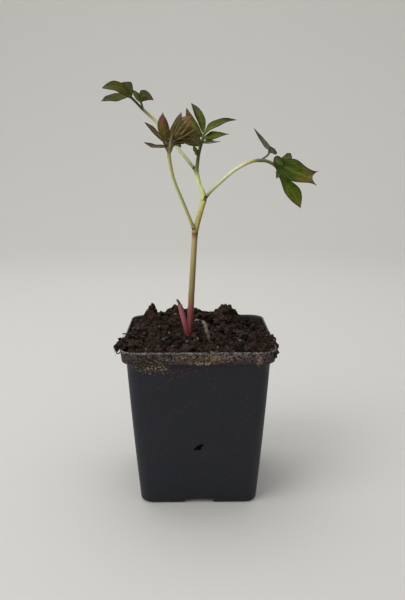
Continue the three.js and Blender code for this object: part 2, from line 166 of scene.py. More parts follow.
@dataclass(frozen=True)
class BlackPolypropylene(Finish):
    """Thermoformed black polypropylene sheet, satin and slightly blue, with dried peat on its collar.

    The sheet is drawn over a mould, so it has a soft, even gloss with faint clouds. Peat that was
    brushed over the rim has dried to a mauve-grey haze on the outside of the collar, which the
    attribute outer marks, and to tan and olive crusts. A pale band along the lip's edge paints a
    highlight over a little dust.
    """

    colour: str = "#191B22"
    cloud: str = "#20222B"
    haze: str = "#423838"
    # Pale band along the lip: a painted highlight over a little dust.
    lip_highlight_and_dust: str = "#6C6460"
    dust: str = "#5C5E68"
    collar_low: float = 109.4
    collar_full: float = 114.5
    lip_low: float = 118.3
    lip_full: float = 119.4
    cloud_size: float = 26.0
    patch_size: float = 7.0
    # Real dust is finer than a pixel of the render, so its grains are drawn this coarse to show.
    grain_size: float = 1.5
    dust_size: float = 1.3
    stains: tuple[Stain, ...] = (
        Stain((-16.0, -51.0, 105.6), (27.0, 9.0, 5.5), "#2B2226", 0.8),
        Stain((13.0, -53.0, 111.6), (15.0, 9.0, 2.2), "#3A2427", 0.9),
        Stain((-33.5, -51.5, 112.0), (14.5, 9.0, 6.0), "#2C2618", 1.0),
        Stain((-31.0, -51.5, 113.5), (15.0, 9.0, 4.0), "#504638", 0.3),
        Stain((-33.0, -51.0, 107.6), (15.0, 9.0, 3.2), "#726457", 0.5),
        Stain((-30.0, -51.0, 104.6), (13.0, 9.0, 2.0), "#54494E", 0.3),
        Stain((1.5, -55.0, 115.4), (25.0, 9.0, 4.6), "#574C3C", 0.85),
        Stain((-3.0, -55.0, 113.4), (15.0, 9.0, 3.0), "#352B1B", 0.5),
        Stain((2.0, -54.5, 112.0), (10.0, 9.0, 1.8), "#9A8B78", 0.4),
        Stain((23.0, -55.0, 117.0), (14.0, 9.0, 3.0), "#584C4A", 0.6),
        Stain((-45.0, -55.0, 115.0), (12.0, 9.0, 5.0), "#3A302A", 0.5),
        Stain((41.5, -54.0, 114.0), (2.4, 9.0, 7.0), "#66544F", 0.8),
    )
    scuffs: tuple[Stain, ...] = (
        Stain((0.2, -46.0, 46.5), (4.9, 4.0, 1.7), "#050506", 1.0, math.radians(-36)),
        Stain((0.6, -46.0, 45.4), (1.5, 4.0, 2.0), "#050506", 1.0, math.radians(20)),
    )

    def near(
        self, tree: bpy.types.NodeTree, place: bpy.types.NodeSocket, stain: Stain, soft: float
    ) -> bpy.types.NodeSocket:
        """Tells how near a place is to a stain's middle.

        Args:
            tree: the material's nodes.
            place: the place.
            stain: the stain.
            soft: the share of its reach over which it fades.

        Returns:
            A value that falls from 1 well inside the oval to 0 at its edge.
        """
        inside = add_node(tree, "ShaderNodeMapping", {
            "Vector": place, "Location": mm(stain.centre), "Rotation": (0.0, stain.slant, 0.0),
            "Scale": mm(stain.reach),
        }, vector_type="TEXTURE")
        far = add_node(tree, "ShaderNodeVectorMath", {0: inside.outputs[0]}, operation="LENGTH")
        fade = {"Value": far.outputs["Value"], "From Min": 1.0, "From Max": 1.0 - soft}
        return add_node(tree, "ShaderNodeMapRange", fade).outputs[0]

    def build(self) -> bpy.types.Material:
        """Builds the material."""
        material, tree = self.start()
        place = add_node(tree, "ShaderNodeTexCoord").outputs["Object"]
        height = add_node(tree, "ShaderNodeSeparateXYZ", {0: place}).outputs["Z"]
        outer = add_node(tree, "ShaderNodeAttribute", attribute_name="outer").outputs["Fac"]
        clouds = add_node(tree, "ShaderNodeTexNoise", {
            "Vector": place, "Scale": 1 / (self.cloud_size * MM), "Detail": 4.0,
        }).outputs["Fac"]
        patches = add_node(tree, "ShaderNodeTexNoise", {
            "Vector": place, "Scale": 1 / (self.patch_size * MM), "Detail": 5.0, "Roughness": 0.6,
        }).outputs["Fac"]
        grains = add_node(tree, "ShaderNodeTexNoise", {
            "Vector": place, "Scale": 1 / (self.grain_size * MM), "Detail": 4.0, "Roughness": 0.7,
        }).outputs["Fac"]
        motes = add_node(tree, "ShaderNodeTexNoise", {
            "Vector": place, "Scale": 1 / (self.dust_size * MM), "Detail": 2.0,
        }).outputs["Fac"]
        colour = add_node(tree, "ShaderNodeMix", {
            0: clouds, MIX_A: to_linear(self.colour), MIX_B: to_linear(self.cloud),
        }, data_type="RGBA").outputs[MIX_RESULT]
        collar = add_node(tree, "ShaderNodeMapRange", {
            "Value": height, "From Min": self.collar_low * MM, "From Max": self.collar_full * MM,
        }, interpolation_type="SMOOTHSTEP").outputs[0]
        thin = add_node(tree, "ShaderNodeMapRange", {
            "Value": patches, "From Min": 0.38, "From Max": 0.62, "To Min": 0.4, "To Max": 1.0,
        }).outputs[0]
        film = add_node(tree, "ShaderNodeMath", {0: collar, 1: thin}, operation="MULTIPLY").outputs[0]
        film = add_node(tree, "ShaderNodeMath", {0: film, 1: outer}, operation="MULTIPLY").outputs[0]
        colour = add_node(tree, "ShaderNodeMix", {
            0: film, MIX_A: colour, MIX_B: to_linear(self.haze),
        }, data_type="RGBA").outputs[MIX_RESULT]
        covered = film
        for stain in self.stains:
            level = 0.64 - 0.26 * stain.cover
            near = self.near(tree, place, stain, 0.4)
            closed = add_node(tree, "ShaderNodeMapRange", {
                "Value": grains, "From Min": level, "From Max": level + 0.05,
            }).outputs[0]
            share = add_node(tree, "ShaderNodeMath", {0: near, 1: closed}, operation="MULTIPLY").outputs[0]
            share = add_node(tree, "ShaderNodeMath", {0: share, 1: outer}, operation="MULTIPLY").outputs[0]
            colour = add_node(tree, "ShaderNodeMix", {
                0: share, MIX_A: colour, MIX_B: to_linear(stain.colour),
            }, data_type="RGBA").outputs[MIX_RESULT]
            covered = add_node(tree, "ShaderNodeMath", {0: covered, 1: share}, operation="MAXIMUM").outputs[0]
        # The lip's pale band: a painted highlight over a little dust, broken in patches.
        lip = add_node(tree, "ShaderNodeMapRange", {
            "Value": height, "From Min": self.lip_low * MM, "From Max": self.lip_full * MM,
        }, interpolation_type="SMOOTHSTEP").outputs[0]
        lip_highlight_share = add_node(tree, "ShaderNodeMath", {0: lip, 1: thin}, operation="MULTIPLY").outputs[0]
        colour = add_node(tree, "ShaderNodeMix", {
            0: lip_highlight_share, MIX_A: colour, MIX_B: to_linear(self.lip_highlight_and_dust),
        }, data_type="RGBA").outputs[MIX_RESULT]
        rare = add_node(tree, "ShaderNodeMapRange", {
            "Value": motes, "From Min": 0.675, "From Max": 0.74, "To Max": 0.45,
        }).outputs[0]
        colour = add_node(tree, "ShaderNodeMix", {
            0: rare, MIX_A: colour, MIX_B: to_linear(self.dust),
        }, data_type="RGBA").outputs[MIX_RESULT]
        dent = 0.0
        for stain in self.scuffs:
            near = self.near(tree, place, stain, 0.3)
            colour = add_node(tree, "ShaderNodeMix", {
                0: near, MIX_A: colour, MIX_B: to_linear(stain.colour),
            }, data_type="RGBA").outputs[MIX_RESULT]
            dent = add_node(tree, "ShaderNodeMath", {0: dent, 1: near}, operation="MAXIMUM").outputs[0]
        gain = add_node(tree, "ShaderNodeMapRange", {
            "Value": grains, "From Min": 0.41, "From Max": 0.6, "To Min": 0.08, "To Max": 2.3,
        }).outputs[0]
        crust = add_node(tree, "ShaderNodeMath", {0: covered, 1: 2.0}, operation="MULTIPLY", use_clamp=True).outputs[0]
        gain = add_node(tree, "ShaderNodeMix", {0: crust, 2: 1.0, 3: gain}).outputs[0]
        colour = add_node(tree, "ShaderNodeVectorMath", {0: colour, "Scale": gain}, operation="SCALE").outputs[0]
        roughness = add_node(tree, "ShaderNodeMapRange", {"Value": covered, "To Min": 0.5, "To Max": 0.95}).outputs[0]
        gloss = add_node(tree, "ShaderNodeMapRange", {"Value": dent, "To Min": 0.3, "To Max": 0.03}).outputs[0]
        raised = add_node(tree, "ShaderNodeMath", {0: covered, 1: grains}, operation="MULTIPLY").outputs[0]
        relief = add_node(tree, "ShaderNodeMath", {0: raised, 1: dent}, operation="SUBTRACT").outputs[0]
        bump = add_node(tree, "ShaderNodeBump", {"Height": relief, "Strength": 0.8, "Distance": 0.3 * MM})
        shader = add_node(tree, "ShaderNodeBsdfPrincipled", {
            "Base Color": colour, "Roughness": roughness, "Normal": bump.outputs[0], "Specular IOR Level": gloss,
        })
        add_node(tree, "ShaderNodeOutputMaterial", {"Surface": shader.outputs[0]})
        return material


@dataclass(frozen=True)
class Peat(Finish):
    """Damp, milled peat: matt crumbs, nearly black in random patches, with paler fibres and specks."""

    dark: str = "#060403"
    colour: str = "#46372E"
    red: str = "#331D16"
    drift: float = 14.0
    speck: str = "#5A4C40"
    crumb: float = 1.8
    grit: float = 0.7

    def build(self) -> bpy.types.Material:
        """Builds the material."""
        material, tree = self.start()
        place = add_node(tree, "ShaderNodeTexCoord").outputs["Object"]
        crumbs = add_node(tree, "ShaderNodeTexNoise", {"Vector": place, "Scale": 1 / (self.crumb * MM), "Detail": 5.0, "Roughness": 0.7})
        grit = add_node(tree, "ShaderNodeTexNoise", {"Vector": place, "Scale": 1 / (self.grit * MM), "Detail": 3.0})
        drifts = add_node(tree, "ShaderNodeTexNoise", {"Vector": place, "Scale": 1 / (self.drift * MM), "Detail": 3.0})
        reddish = add_node(tree, "ShaderNodeMapRange", {"Value": drifts.outputs["Fac"], "From Min": 0.45, "From Max": 0.62})
        brown = add_node(tree, "ShaderNodeMix", {0: reddish.outputs[0], MIX_A: to_linear(self.colour), MIX_B: to_linear(self.red)}, data_type="RGBA")
        tone = add_node(tree, "ShaderNodeMapRange", {"Value": crumbs.outputs["Fac"], "From Min": 0.4, "From Max": 0.6})
        peat = add_node(tree, "ShaderNodeMix", {0: tone.outputs[0], MIX_A: to_linear(self.dark), MIX_B: brown.outputs[MIX_RESULT]}, data_type="RGBA")
        rare = add_node(tree, "ShaderNodeMapRange", {"Value": grit.outputs["Fac"], "From Min": 0.6, "From Max": 0.72, "To Max": 0.8})
        colour = add_node(tree, "ShaderNodeMix", {0: rare.outputs[0], MIX_A: peat.outputs[MIX_RESULT], MIX_B: to_linear(self.speck)}, data_type="RGBA")
        bump = add_node(tree, "ShaderNodeBump", {"Height": grit.outputs["Fac"], "Strength": 0.8, "Distance": 0.4 * MM})
        roughness = add_node(tree, "ShaderNodeMapRange", {"Value": crumbs.outputs["Fac"], "To Min": 1.0, "To Max": 0.7})
        shader = add_node(tree, "ShaderNodeBsdfPrincipled", {
            "Base Color": colour.outputs[MIX_RESULT], "Roughness": roughness.outputs[0], "Normal": bump.outputs[0],
            "Specular IOR Level": 0.12,
        })
        add_node(tree, "ShaderNodeOutputMaterial", {"Surface": shader.outputs[0]})
        return material


@dataclass(frozen=True)
class TintedSkin(Finish):
    """A skin whose colour is laid on the piece as the attribute tint, with fine mottling over it.

    It serves dry stalks, fibres and grains, which change colour along their length, and differ in
    grain size, streaks and gloss.
    """

    mottle: float = 0.25
    grain: float = 1.0
    stretch: float = 1.0
    roughness: float = 0.85
    specular: float = 0.3
    relief: float = 0.15

    def build(self) -> bpy.types.Material:
        """Builds the material."""
        material, tree = self.start()
        place = add_node(tree, "ShaderNodeTexCoord").outputs["Object"]
        scale = 1 / (self.grain * MM)
        drawn = add_node(tree, "ShaderNodeMapping", {"Vector": place, "Scale": (scale, scale, scale / self.stretch)})
        grains = add_node(tree, "ShaderNodeTexNoise", {"Vector": drawn.outputs[0], "Scale": 1.0, "Detail": 4.0, "Roughness": 0.65})
        tint = add_node(tree, "ShaderNodeAttribute", attribute_name="tint")
        gain = add_node(tree, "ShaderNodeMapRange", {
            "Value": grains.outputs["Fac"], "From Min": 0.3, "From Max": 0.7, "To Min": 1 - self.mottle, "To Max": 1 + self.mottle,
        })
        colour = add_node(tree, "ShaderNodeVectorMath", {0: tint.outputs["Color"], "Scale": gain.outputs[0]}, operation="SCALE")
        bump = add_node(tree, "ShaderNodeBump", {"Height": grains.outputs["Fac"], "Strength": 0.6, "Distance": self.relief * MM})
        shader = add_node(tree, "ShaderNodeBsdfPrincipled", {
            "Base Color": colour.outputs[0], "Normal": bump.outputs[0], "Roughness": self.roughness,
            "Specular IOR Level": self.specular,
        })
        add_node(tree, "ShaderNodeOutputMaterial", {"Surface": shader.outputs[0]})
        return material


@dataclass(frozen=True)
class LeafBlade(Finish):
    """The waxy skin of a young peony leaf, which has a soft gloss and lets some light through.

    The blade carries its colours as the attribute tint, how pale its veins are as veins, its flat
    size in millimetres as flat, and its distance from the rib as a share of the half width in rim.
    """

    vein_colour: str = "#A09468"
    rim_colour: str = "#2A1E1C"
    midrib: float = 0.5
    side_vein: float = 0.2
    vein_spacing: float = 2.6
    vein_slant: float = 1.9
    mottle_size: float = 2.8

    def build(self) -> bpy.types.Material:
        """Builds the material."""
        material, tree = self.start()
        place = add_node(tree, "ShaderNodeTexCoord").outputs["Object"]
        tint = add_node(tree, "ShaderNodeAttribute", attribute_name="tint")
        flat = add_node(tree, "ShaderNodeAttribute", attribute_name="flat")
        rim = add_node(tree, "ShaderNodeAttribute", attribute_name="rim")
        pale = add_node(tree, "ShaderNodeAttribute", attribute_name="veins")
        axes = add_node(tree, "ShaderNodeSeparateXYZ", {0: flat.outputs["Vector"]})
        aside = add_node(tree, "ShaderNodeMath", {0: axes.outputs["Y"]}, operation="ABSOLUTE")
        middle = add_node(tree, "ShaderNodeMapRange", {
            "Value": aside.outputs[0], "From Min": self.midrib, "From Max": 0.4 * self.midrib,
        }, interpolation_type="SMOOTHSTEP")
        slanted = add_node(tree, "ShaderNodeMath", {0: aside.outputs[0], 1: -self.vein_slant, 2: axes.outputs["X"]}, operation="MULTIPLY_ADD")
        offset = add_node(tree, "ShaderNodeMath", {0: slanted.outputs[0], 1: self.vein_spacing}, operation="PINGPONG")
        side = add_node(tree, "ShaderNodeMapRange", {
            "Value": offset.outputs[0], "From Min": 2 * self.side_vein, "From Max": 0.5 * self.side_vein, "To Max": 0.7,
        }, interpolation_type="SMOOTHSTEP")
        vein = add_node(tree, "ShaderNodeMath", {0: middle.outputs[0], 1: side.outputs[0]}, operation="MAXIMUM")
        shown = add_node(tree, "ShaderNodeMath", {0: vein.outputs[0], 1: pale.outputs["Fac"]}, operation="MULTIPLY")
        mottle = add_node(tree, "ShaderNodeTexNoise", {"Vector": place, "Scale": 1 / (self.mottle_size * MM), "Detail": 5.0, "Roughness": 0.6})
        gain = add_node(tree, "ShaderNodeMapRange", {"Value": mottle.outputs["Fac"], "From Min": 0.3, "From Max": 0.7, "To Min": 0.62, "To Max": 1.38})
        skin = add_node(tree, "ShaderNodeVectorMath", {0: tint.outputs["Color"], "Scale": gain.outputs[0]}, operation="SCALE")
        veined = add_node(tree, "ShaderNodeMix", {0: shown.outputs[0], MIX_A: skin.outputs[0], MIX_B: to_linear(self.vein_colour)}, data_type="RGBA")
        edge = add_node(tree, "ShaderNodeMapRange", {"Value": rim.outputs["Fac"], "From Min": 0.78, "From Max": 0.96, "To Max": 0.85}, interpolation_type="SMOOTHSTEP")
        colour = add_node(tree, "ShaderNodeMix", {0: edge.outputs[0], MIX_A: veined.outputs[MIX_RESULT], MIX_B: to_linear(self.rim_colour)}, data_type="RGBA")
        bump = add_node(tree, "ShaderNodeBump", {"Height": vein.outputs[0], "Strength": 0.5, "Distance": 0.15 * MM}, invert=True)
        roughness = add_node(tree, "ShaderNodeMapRange", {"Value": mottle.outputs["Fac"], "To Min": 0.5, "To Max": 0.75})
        shader = add_node(tree, "ShaderNodeBsdfPrincipled", {
            "Base Color": colour.outputs[MIX_RESULT], "Normal": bump.outputs[0], "Roughness": roughness.outputs[0],
            "Specular IOR Level": 0.07, "Subsurface Weight": 0.08, "Subsurface Radius": (0.4, 0.6, 0.2),
            "Subsurface Scale": 0.6 * MM,
        })
        add_node(tree, "ShaderNodeOutputMaterial", {"Surface": shader.outputs[0]})
        return material


@dataclass(frozen=True)
class StemSkin(Finish):
    """The smooth, waxy skin of a young stem, with faint streaks along it and a soft gloss."""

    streak: float = 0.5
    streak_length: float = 9.0

    def build(self) -> bpy.types.Material:
        """Builds the material."""
        material, tree = self.start()
        place = add_node(tree, "ShaderNodeTexCoord").outputs["Object"]
        across = 1 / (self.streak * MM)
        drawn = add_node(tree, "ShaderNodeMapping", {"Vector": place, "Scale": (across, across, 1 / (self.streak_length * MM))})
        streaks = add_node(tree, "ShaderNodeTexNoise", {"Vector": drawn.outputs[0], "Scale": 1.0, "Detail": 3.0})
        tint = add_node(tree, "ShaderNodeAttribute", attribute_name="tint")
        gain = add_node(tree, "ShaderNodeMapRange", {"Value": streaks.outputs["Fac"], "From Min": 0.3, "From Max": 0.7, "To Min": 0.82, "To Max": 1.18})
        colour = add_node(tree, "ShaderNodeVectorMath", {0: tint.outputs["Color"], "Scale": gain.outputs[0]}, operation="SCALE")
        bump = add_node(tree, "ShaderNodeBump", {"Height": streaks.outputs["Fac"], "Strength": 0.35, "Distance": 0.2 * MM})
        shader = add_node(tree, "ShaderNodeBsdfPrincipled", {
            "Base Color": colour.outputs[0], "Normal": bump.outputs[0], "Roughness": 0.5, "Specular IOR Level": 0.35,
            "Subsurface Weight": 0.2, "Subsurface Radius": (0.8, 0.6, 0.3), "Subsurface Scale": 1.0 * MM,
        })
        add_node(tree, "ShaderNodeOutputMaterial", {"Surface": shader.outputs[0]})
        return material


@dataclass(frozen=True)
class MattPaint(Finish):
    """The plain matt paint of the studio's floor and wall."""

    colour: str = "#D1CECA"

    def build(self) -> bpy.types.Material:
        """Builds the material."""
        material, tree = self.start()
        shader = add_node(tree, "ShaderNodeBsdfPrincipled", {
            "Base Color": to_linear(self.colour), "Roughness": 0.9, "Specular IOR Level": 0.1,
        })
        add_node(tree, "ShaderNodeOutputMaterial", {"Surface": shader.outputs[0]})
        return material


def make_piece(
    bm: bmesh.types.BMesh, name: str, material: bpy.types.Material, replaced: Sequence[str] = ()
) -> bpy.types.Object:
    """Turns a bmesh into a piece of the model that rides on the one body.

    Args:
        bm: the shape, which is used up.
        name: the piece's name.
        material: its material.
        replaced: the CAD nodes that it stands for.

    Returns:
        The new object.
    """
    mesh = bpy.data.meshes.new(name)
    bm.to_mesh(mesh)
    bm.free()
    mesh.materials.append(material)
    mesh.shade_smooth()
    piece = bpy.data.objects.new(name, mesh)
    bpy.context.scene.collection.objects.link(piece)
    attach(piece, BODY)
    if replaced:
        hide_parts(*replaced)
    LOG.info("%s: %d faces", name, len(mesh.polygons))
    return piece


# The side of a stem that faces away from the light, where its second colour paints the shade.
SHADE_SIDE = Vector((0.85, -0.1, -0.5)).normalized()


@dataclass(frozen=True)
class Station:
    """One place along a stem, rib or fibre: its radius, its colour, and the painted shade of its unlit side."""

    place: Point
    radius: float
    tint: str
    # Second colour: painted shade on the stem's side away from the light.
    painted_shade: str = ""

    def packed(self) -> Vector:
        """Packs the place and radius in metres and both colours into one vector."""
        tint = to_linear(self.tint)[:3]
        painted_shade = to_linear(self.painted_shade)[:3] if self.painted_shade else tint
        return Vector((*mm(self.place), self.radius * MM, *tint, *painted_shade))


@dataclass(frozen=True)
class Ring:
    """One ring of a swept body: its middle, its heading, its colour and the painted shade of its unlit side."""

    place: Vector
    along: Vector
    tint: Vector
    painted_shade: Vector

    def colour_at(self, point: Vector) -> Vector:
        """Gives the skin's colour at a point near the ring, with painted shade on the side away from the light."""
        outward = point - self.place
        outward = (outward - self.along * outward.dot(self.along)).normalized()
        share = smoothstep(-0.1, 1.0, outward.dot(SHADE_SIDE))
        return Vector((*self.tint.lerp(self.painted_shade, share), 1.0))


def sweep(bm: bmesh.types.BMesh, stations: Sequence[Station], sides: int = 20, steps: int = 5) -> list[Ring]:
    """Sweeps a round section along a smooth line through stations, and closes both ends.

    Args:
        bm: the mesh that gets the body.
        stations: the places that the line passes.
        sides: the number of sides of the section.
        steps: the number of rings from one station to the next.

    Returns:
        The rings along the line.
    """
    layer = bm.verts.layers.float_color.get("tint") or bm.verts.layers.float_color.new("tint")
    line = smooth_line([station.packed() for station in stations], steps)
    turn = Quaternion()
    tangent = UP
    rings: list[Ring] = []
    verts: list[bmesh.types.BMVert] = []
    edges: list[bmesh.types.BMEdge] = []
    last = Matrix()
    for i, spot in enumerate(line):
        ahead = (line[min(i + 1, len(line) - 1)] - line[max(i - 1, 0)]).xyz.normalized()
        turn = tangent.rotation_difference(ahead) @ turn
        tangent = ahead
        radius = max(spot[3], 1e-5)
        seat = Matrix.LocRotScale(spot.xyz, turn, (radius, radius, radius))
        if i == 0:
            verts = bmesh.ops.create_circle(bm, cap_ends=True, radius=1.0, segments=sides, matrix=seat)["verts"]
            edges = list({edge for vert in verts for edge in vert.link_edges})
        else:
            grown = bmesh.ops.extrude_edge_only(bm, edges=edges)["geom"]
            verts = [item for item in grown if isinstance(item, bmesh.types.BMVert)]
            edges = [item for item in grown if isinstance(item, bmesh.types.BMEdge)]
            bmesh.ops.transform(bm, matrix=seat @ last.inverted(), verts=verts)
        ring = Ring(spot.xyz, tangent, Vector(spot[4:7]), Vector(spot[7:10]))
        for vert in verts:
            vert[layer] = ring.colour_at(vert.co)
        rings.append(ring)
        last = seat
    bmesh.ops.edgeloop_fill(bm, edges=edges)
    return rings


def pour(part: bmesh.types.BMesh, whole: bmesh.types.BMesh) -> None:
    """Moves a small mesh into a large one, which is quicker than growing the large one by itself.

    Args:
        part: the small mesh, which is used up.
        whole: the mesh that gets it.
    """
    mesh = bpy.data.meshes.new("part")
    part.to_mesh(mesh)
    part.free()
    whole.from_mesh(mesh)
    bpy.data.meshes.remove(mesh)


def fuse(bm: bmesh.types.BMesh, rings: Sequence[Ring], voxel: float, rounds: int) -> bmesh.types.BMesh:
    """Grows overlapping bodies together in one smooth skin and colours it again.

    Args:
        bm: the overlapping closed bodies, which are used up.
        rings: the rings that give the skin its colours.
        voxel: the size of the skin's cells, in millimetres.
        rounds: the number of smoothing rounds.

    Returns:
        The fused skin.
    """
    bmesh.ops.recalc_face_normals(bm, faces=bm.faces)
    mesh = bpy.data.meshes.new("rough")
    bm.to_mesh(mesh)
    bm.free()
    rough = bpy.data.objects.new("rough", mesh)
    bpy.context.scene.collection.objects.link(rough)
    remesh = rough.modifiers.new("Remesh", "REMESH")
    remesh.mode = "VOXEL"
    remesh.voxel_size = voxel * MM
    soften = rough.modifiers.new("Smooth", "SMOOTH")
    soften.factor = 0.5
    soften.iterations = rounds
    graph = bpy.context.evaluated_depsgraph_get()
    skin = bmesh.new()
    skin.from_mesh(rough.evaluated_get(graph).to_mesh())
    bpy.data.objects.remove(rough)
    bpy.data.meshes.remove(mesh)
    tree = kdtree.KDTree(len(rings))
    for i, ring in enumerate(rings):
        tree.insert(ring.place, i)
    tree.balance()
    layer = skin.verts.layers.float_color.new("tint")
    for vert in skin.verts:
        vert[layer] = rings[tree.find(vert.co)[1]].colour_at(vert.co)
    return skin


def add_lump(
    bm: bmesh.types.BMesh, centre: Vector, reach: Sequence[float], turn: Quaternion, detail: int, rough: float,
    seed: float, tint: str,
) -> list[bmesh.types.BMVert]:
    """Adds a closed, uneven lump.

    Args:
        bm: the mesh that gets the lump.
        centre: its middle, in metres.
        reach: its three half sizes, in metres.
        turn: how it is turned.
        detail: the number of subdivisions of its ball.
        rough: how uneven it is, as a share of its size.
        seed: a number that gives each lump a form of its own.
        tint: the colour that it carries.

    Returns:
        The lump's vertices.
    """
    layer = bm.verts.layers.float_color.get("tint") or bm.verts.layers.float_color.new("tint")
    colour = to_linear(tint)
    verts = bmesh.ops.create_icosphere(bm, subdivisions=detail, radius=1.0)["verts"]
    offset = Vector((seed, 1.7 * seed, -seed))
    for vert in verts:
        vert.co *= 1 + rough * noise.noise(1.6 * vert.co + offset)
        vert[layer] = colour
    bmesh.ops.transform(bm, matrix=Matrix.LocRotScale(centre, turn, Vector(reach)), verts=verts)
    return verts


def random_turn(draw: random.Random) -> Quaternion:
    """Draws an even random turn."""
    axis = Vector((draw.gauss(0, 1), draw.gauss(0, 1), draw.gauss(0, 1))).normalized()
    return Quaternion(axis, draw.uniform(0, 2 * math.pi))


@dataclass
class NurseryPot:
    """The thin square pot, with its stepped collar, rounded foot and drain slots."""

    rim_half: float = field(default_factory=lambda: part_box("pot")[1].x / MM)
    height: float = field(default_factory=lambda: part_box("pot")[1].z / MM)
    shoulder_half: float = 50.9
    shoulder_height: float = 109.2
    base_half: float = 43.0
    foot_round: float = 2.6
    corner_share: float = 0.205
    wall: float = 0.9
    lip: float = 0.45
    wall_bow: float = 0.4
    slot_half: float = 11.0
    slot_height: float = 4.8
    slot_depth: float = 14.0
    slot_round: float = 3.0
    speck_count: int = 900
    batch: int = 50

    def wall_half(self, height: float) -> float:
        """Gives the wall's half width at a height, with the slight bow of the drawn sheet."""
        share = height / self.shoulder_height
        bow = self.wall_bow * 4 * share * (1 - share)
        return self.base_half + (self.shoulder_half - self.base_half) * share + bow

    def profile(self) -> list[tuple[float, float]]:
        """Lists the section's half widths and heights, up the outside and down the inside."""
        foot = self.wall_half(self.foot_round)
        quarter = [math.pi / 2 * step / 6 for step in range(7)]
        outside = [(foot - self.foot_round * (1 - math.sin(a)), self.foot_round * (1 - math.cos(a))) for a in quarter]
        levels = [self.foot_round + (self.shoulder_height - self.foot_round) * step / 12 for step in range(1, 13)]
        outside += [(self.wall_half(level), level) for level in levels]
        shoulder, rim = self.shoulder_half, self.rim_half
        outside += [
            (shoulder + 0.3, self.shoulder_height + 0.5), (shoulder + 0.9, self.shoulder_height + 0.9),
            (rim - 1.7, self.shoulder_height + 1.3), (rim - 1.1, self.shoulder_height + 1.8),
            (rim - 0.9, self.shoulder_height + 2.8), (rim - 0.5, self.height - 4.0), (rim - 0.1, self.height - 1.2),
        ]
        middle = self.rim_half - self.lip
        half_turn = [math.pi * step / 6 for step in range(7)]
        lip = [(middle + self.lip * math.cos(a), self.height - self.lip * (1 - math.sin(a))) for a in half_turn]
        inset = self.wall
        inside = [
            (rim - 0.7 - inset, self.height - 5.0), (rim - 1.4 - inset, self.shoulder_height + 2.6),
            (shoulder + 1.6 - inset, self.shoulder_height + 1.7), (shoulder - inset, self.shoulder_height),
            (self.wall_half(60.0) - inset, 60.0), (foot - inset, self.foot_round), (foot - self.foot_round, inset + 0.4),
        ]
        return outside + lip + inside

    def build_shell(self) -> bmesh.types.BMesh:
        """Draws the pot's wall up from a rounded square, over the lip and down to the floor."""
        bm = bmesh.new()
        outer = bm.verts.layers.float.new("outer")
        bmesh.ops.create_grid(bm, x_segments=1, y_segments=1, size=1.0)
        bmesh.ops.bevel(
            bm, geom=list(bm.verts), offset=self.corner_share, segments=9, profile=0.5, affect="VERTICES", material=-1,
        )
        long_edges = [edge for edge in bm.edges if edge.calc_length() > 1.0]
        bmesh.ops.subdivide_edges(bm, edges=long_edges, cuts=11)
        ring = list(bm.verts)
        edges = list(bm.edges)
        stations = self.profile()
        last = self.section(stations[0])
        bmesh.ops.transform(bm, matrix=last, verts=ring)
        turn_in = max(range(len(stations)), key=lambda i: stations[i][1])
        for i, station in enumerate(stations[1:], 1):
            grown = bmesh.ops.extrude_edge_only(bm, edges=edges)["geom"]
            ring = [item for item in grown if isinstance(item, bmesh.types.BMVert)]
            edges = [item for item in grown if isinstance(item, bmesh.types.BMEdge)]
            seat = self.section(station)
            bmesh.ops.transform(bm, matrix=seat @ last.inverted(), verts=ring)
            for vert in ring:
                vert[outer] = float(i <= turn_in)
            last = seat
        bmesh.ops.edgeloop_fill(bm, edges=edges)
        bmesh.ops.recalc_face_normals(bm, faces=bm.faces)
        return bm

    def section(self, station: tuple[float, float]) -> Matrix:
        """Gives the matrix that sizes and lifts the rounded square to a station of the profile."""
        half, height = station
        return Matrix.LocRotScale(mm((0, 0, height)), None, (half * MM, half * MM, 1.0))

    def build_cutters(self) -> bpy.types.Object:
        """Makes the four blocks with rounded tops that the drain slots are cut with."""
        bm = bmesh.new()
        for side in range(4):
            verts = bmesh.ops.create_cube(bm, size=1.0)["verts"]
            size = Matrix.Diagonal(mm((2 * self.slot_half, self.slot_depth + 1, 2 * self.slot_height)).to_4d())
            size[3][3] = 1.0
            seat = Matrix.Translation(mm((0, (self.slot_depth - 1) / 2 - self.base_half, 0)))
            bmesh.ops.transform(bm, matrix=seat @ size, verts=verts)
            edges = {edge for vert in verts for edge in vert.link_edges}
            top = [e for e in edges if all(v.co.z > 0 for v in e.verts) and abs((e.verts[0].co - e.verts[1].co).x) < MM]
            bevelled = bmesh.ops.bevel(
                bm, geom=top, offset=self.slot_round * MM, segments=5, profile=0.5, affect="EDGES", material=-1,
            )
            block = {v for v in verts if v.is_valid} | {v for f in bevelled["faces"] for v in f.verts}
            bmesh.ops.rotate(bm, matrix=Matrix.Rotation(side * math.pi / 2, 3, "Z"), verts=list(block))
        mesh = bpy.data.meshes.new("slot_cutters")
        bm.to_mesh(mesh)
        bm.free()
        cutters = bpy.data.objects.new("slot_cutters", mesh)
        bpy.context.scene.collection.objects.link(cutters)
        return cutters

    def build(self, plastic: bpy.types.Material, dried: bpy.types.Material) -> None:
        """Makes the pot and the dried peat that sticks to it.

        Args:
            plastic: the pot's material.
            dried: the material of the specks.
        """
        pot = make_piece(self.build_shell(), "pot_shell", plastic, ["pot"])
        cutters = self.build_cutters()
        cut = pot.modifiers.new("Slots", "BOOLEAN")
        cut.operation = "DIFFERENCE"
        cut.solver = "EXACT"
        cut.object = cutters
        graph = bpy.context.evaluated_depsgraph_get()
        shell = bpy.data.meshes.new_from_object(pot.evaluated_get(graph))
        pot.modifiers.clear()
        pot.data = shell
        shell.name = "pot_shell"
        shell.set_sharp_from_angle(angle=math.radians(35))
        bpy.data.objects.remove(cutters)
        make_piece(self.build_specks(), "dried_specks", dried)

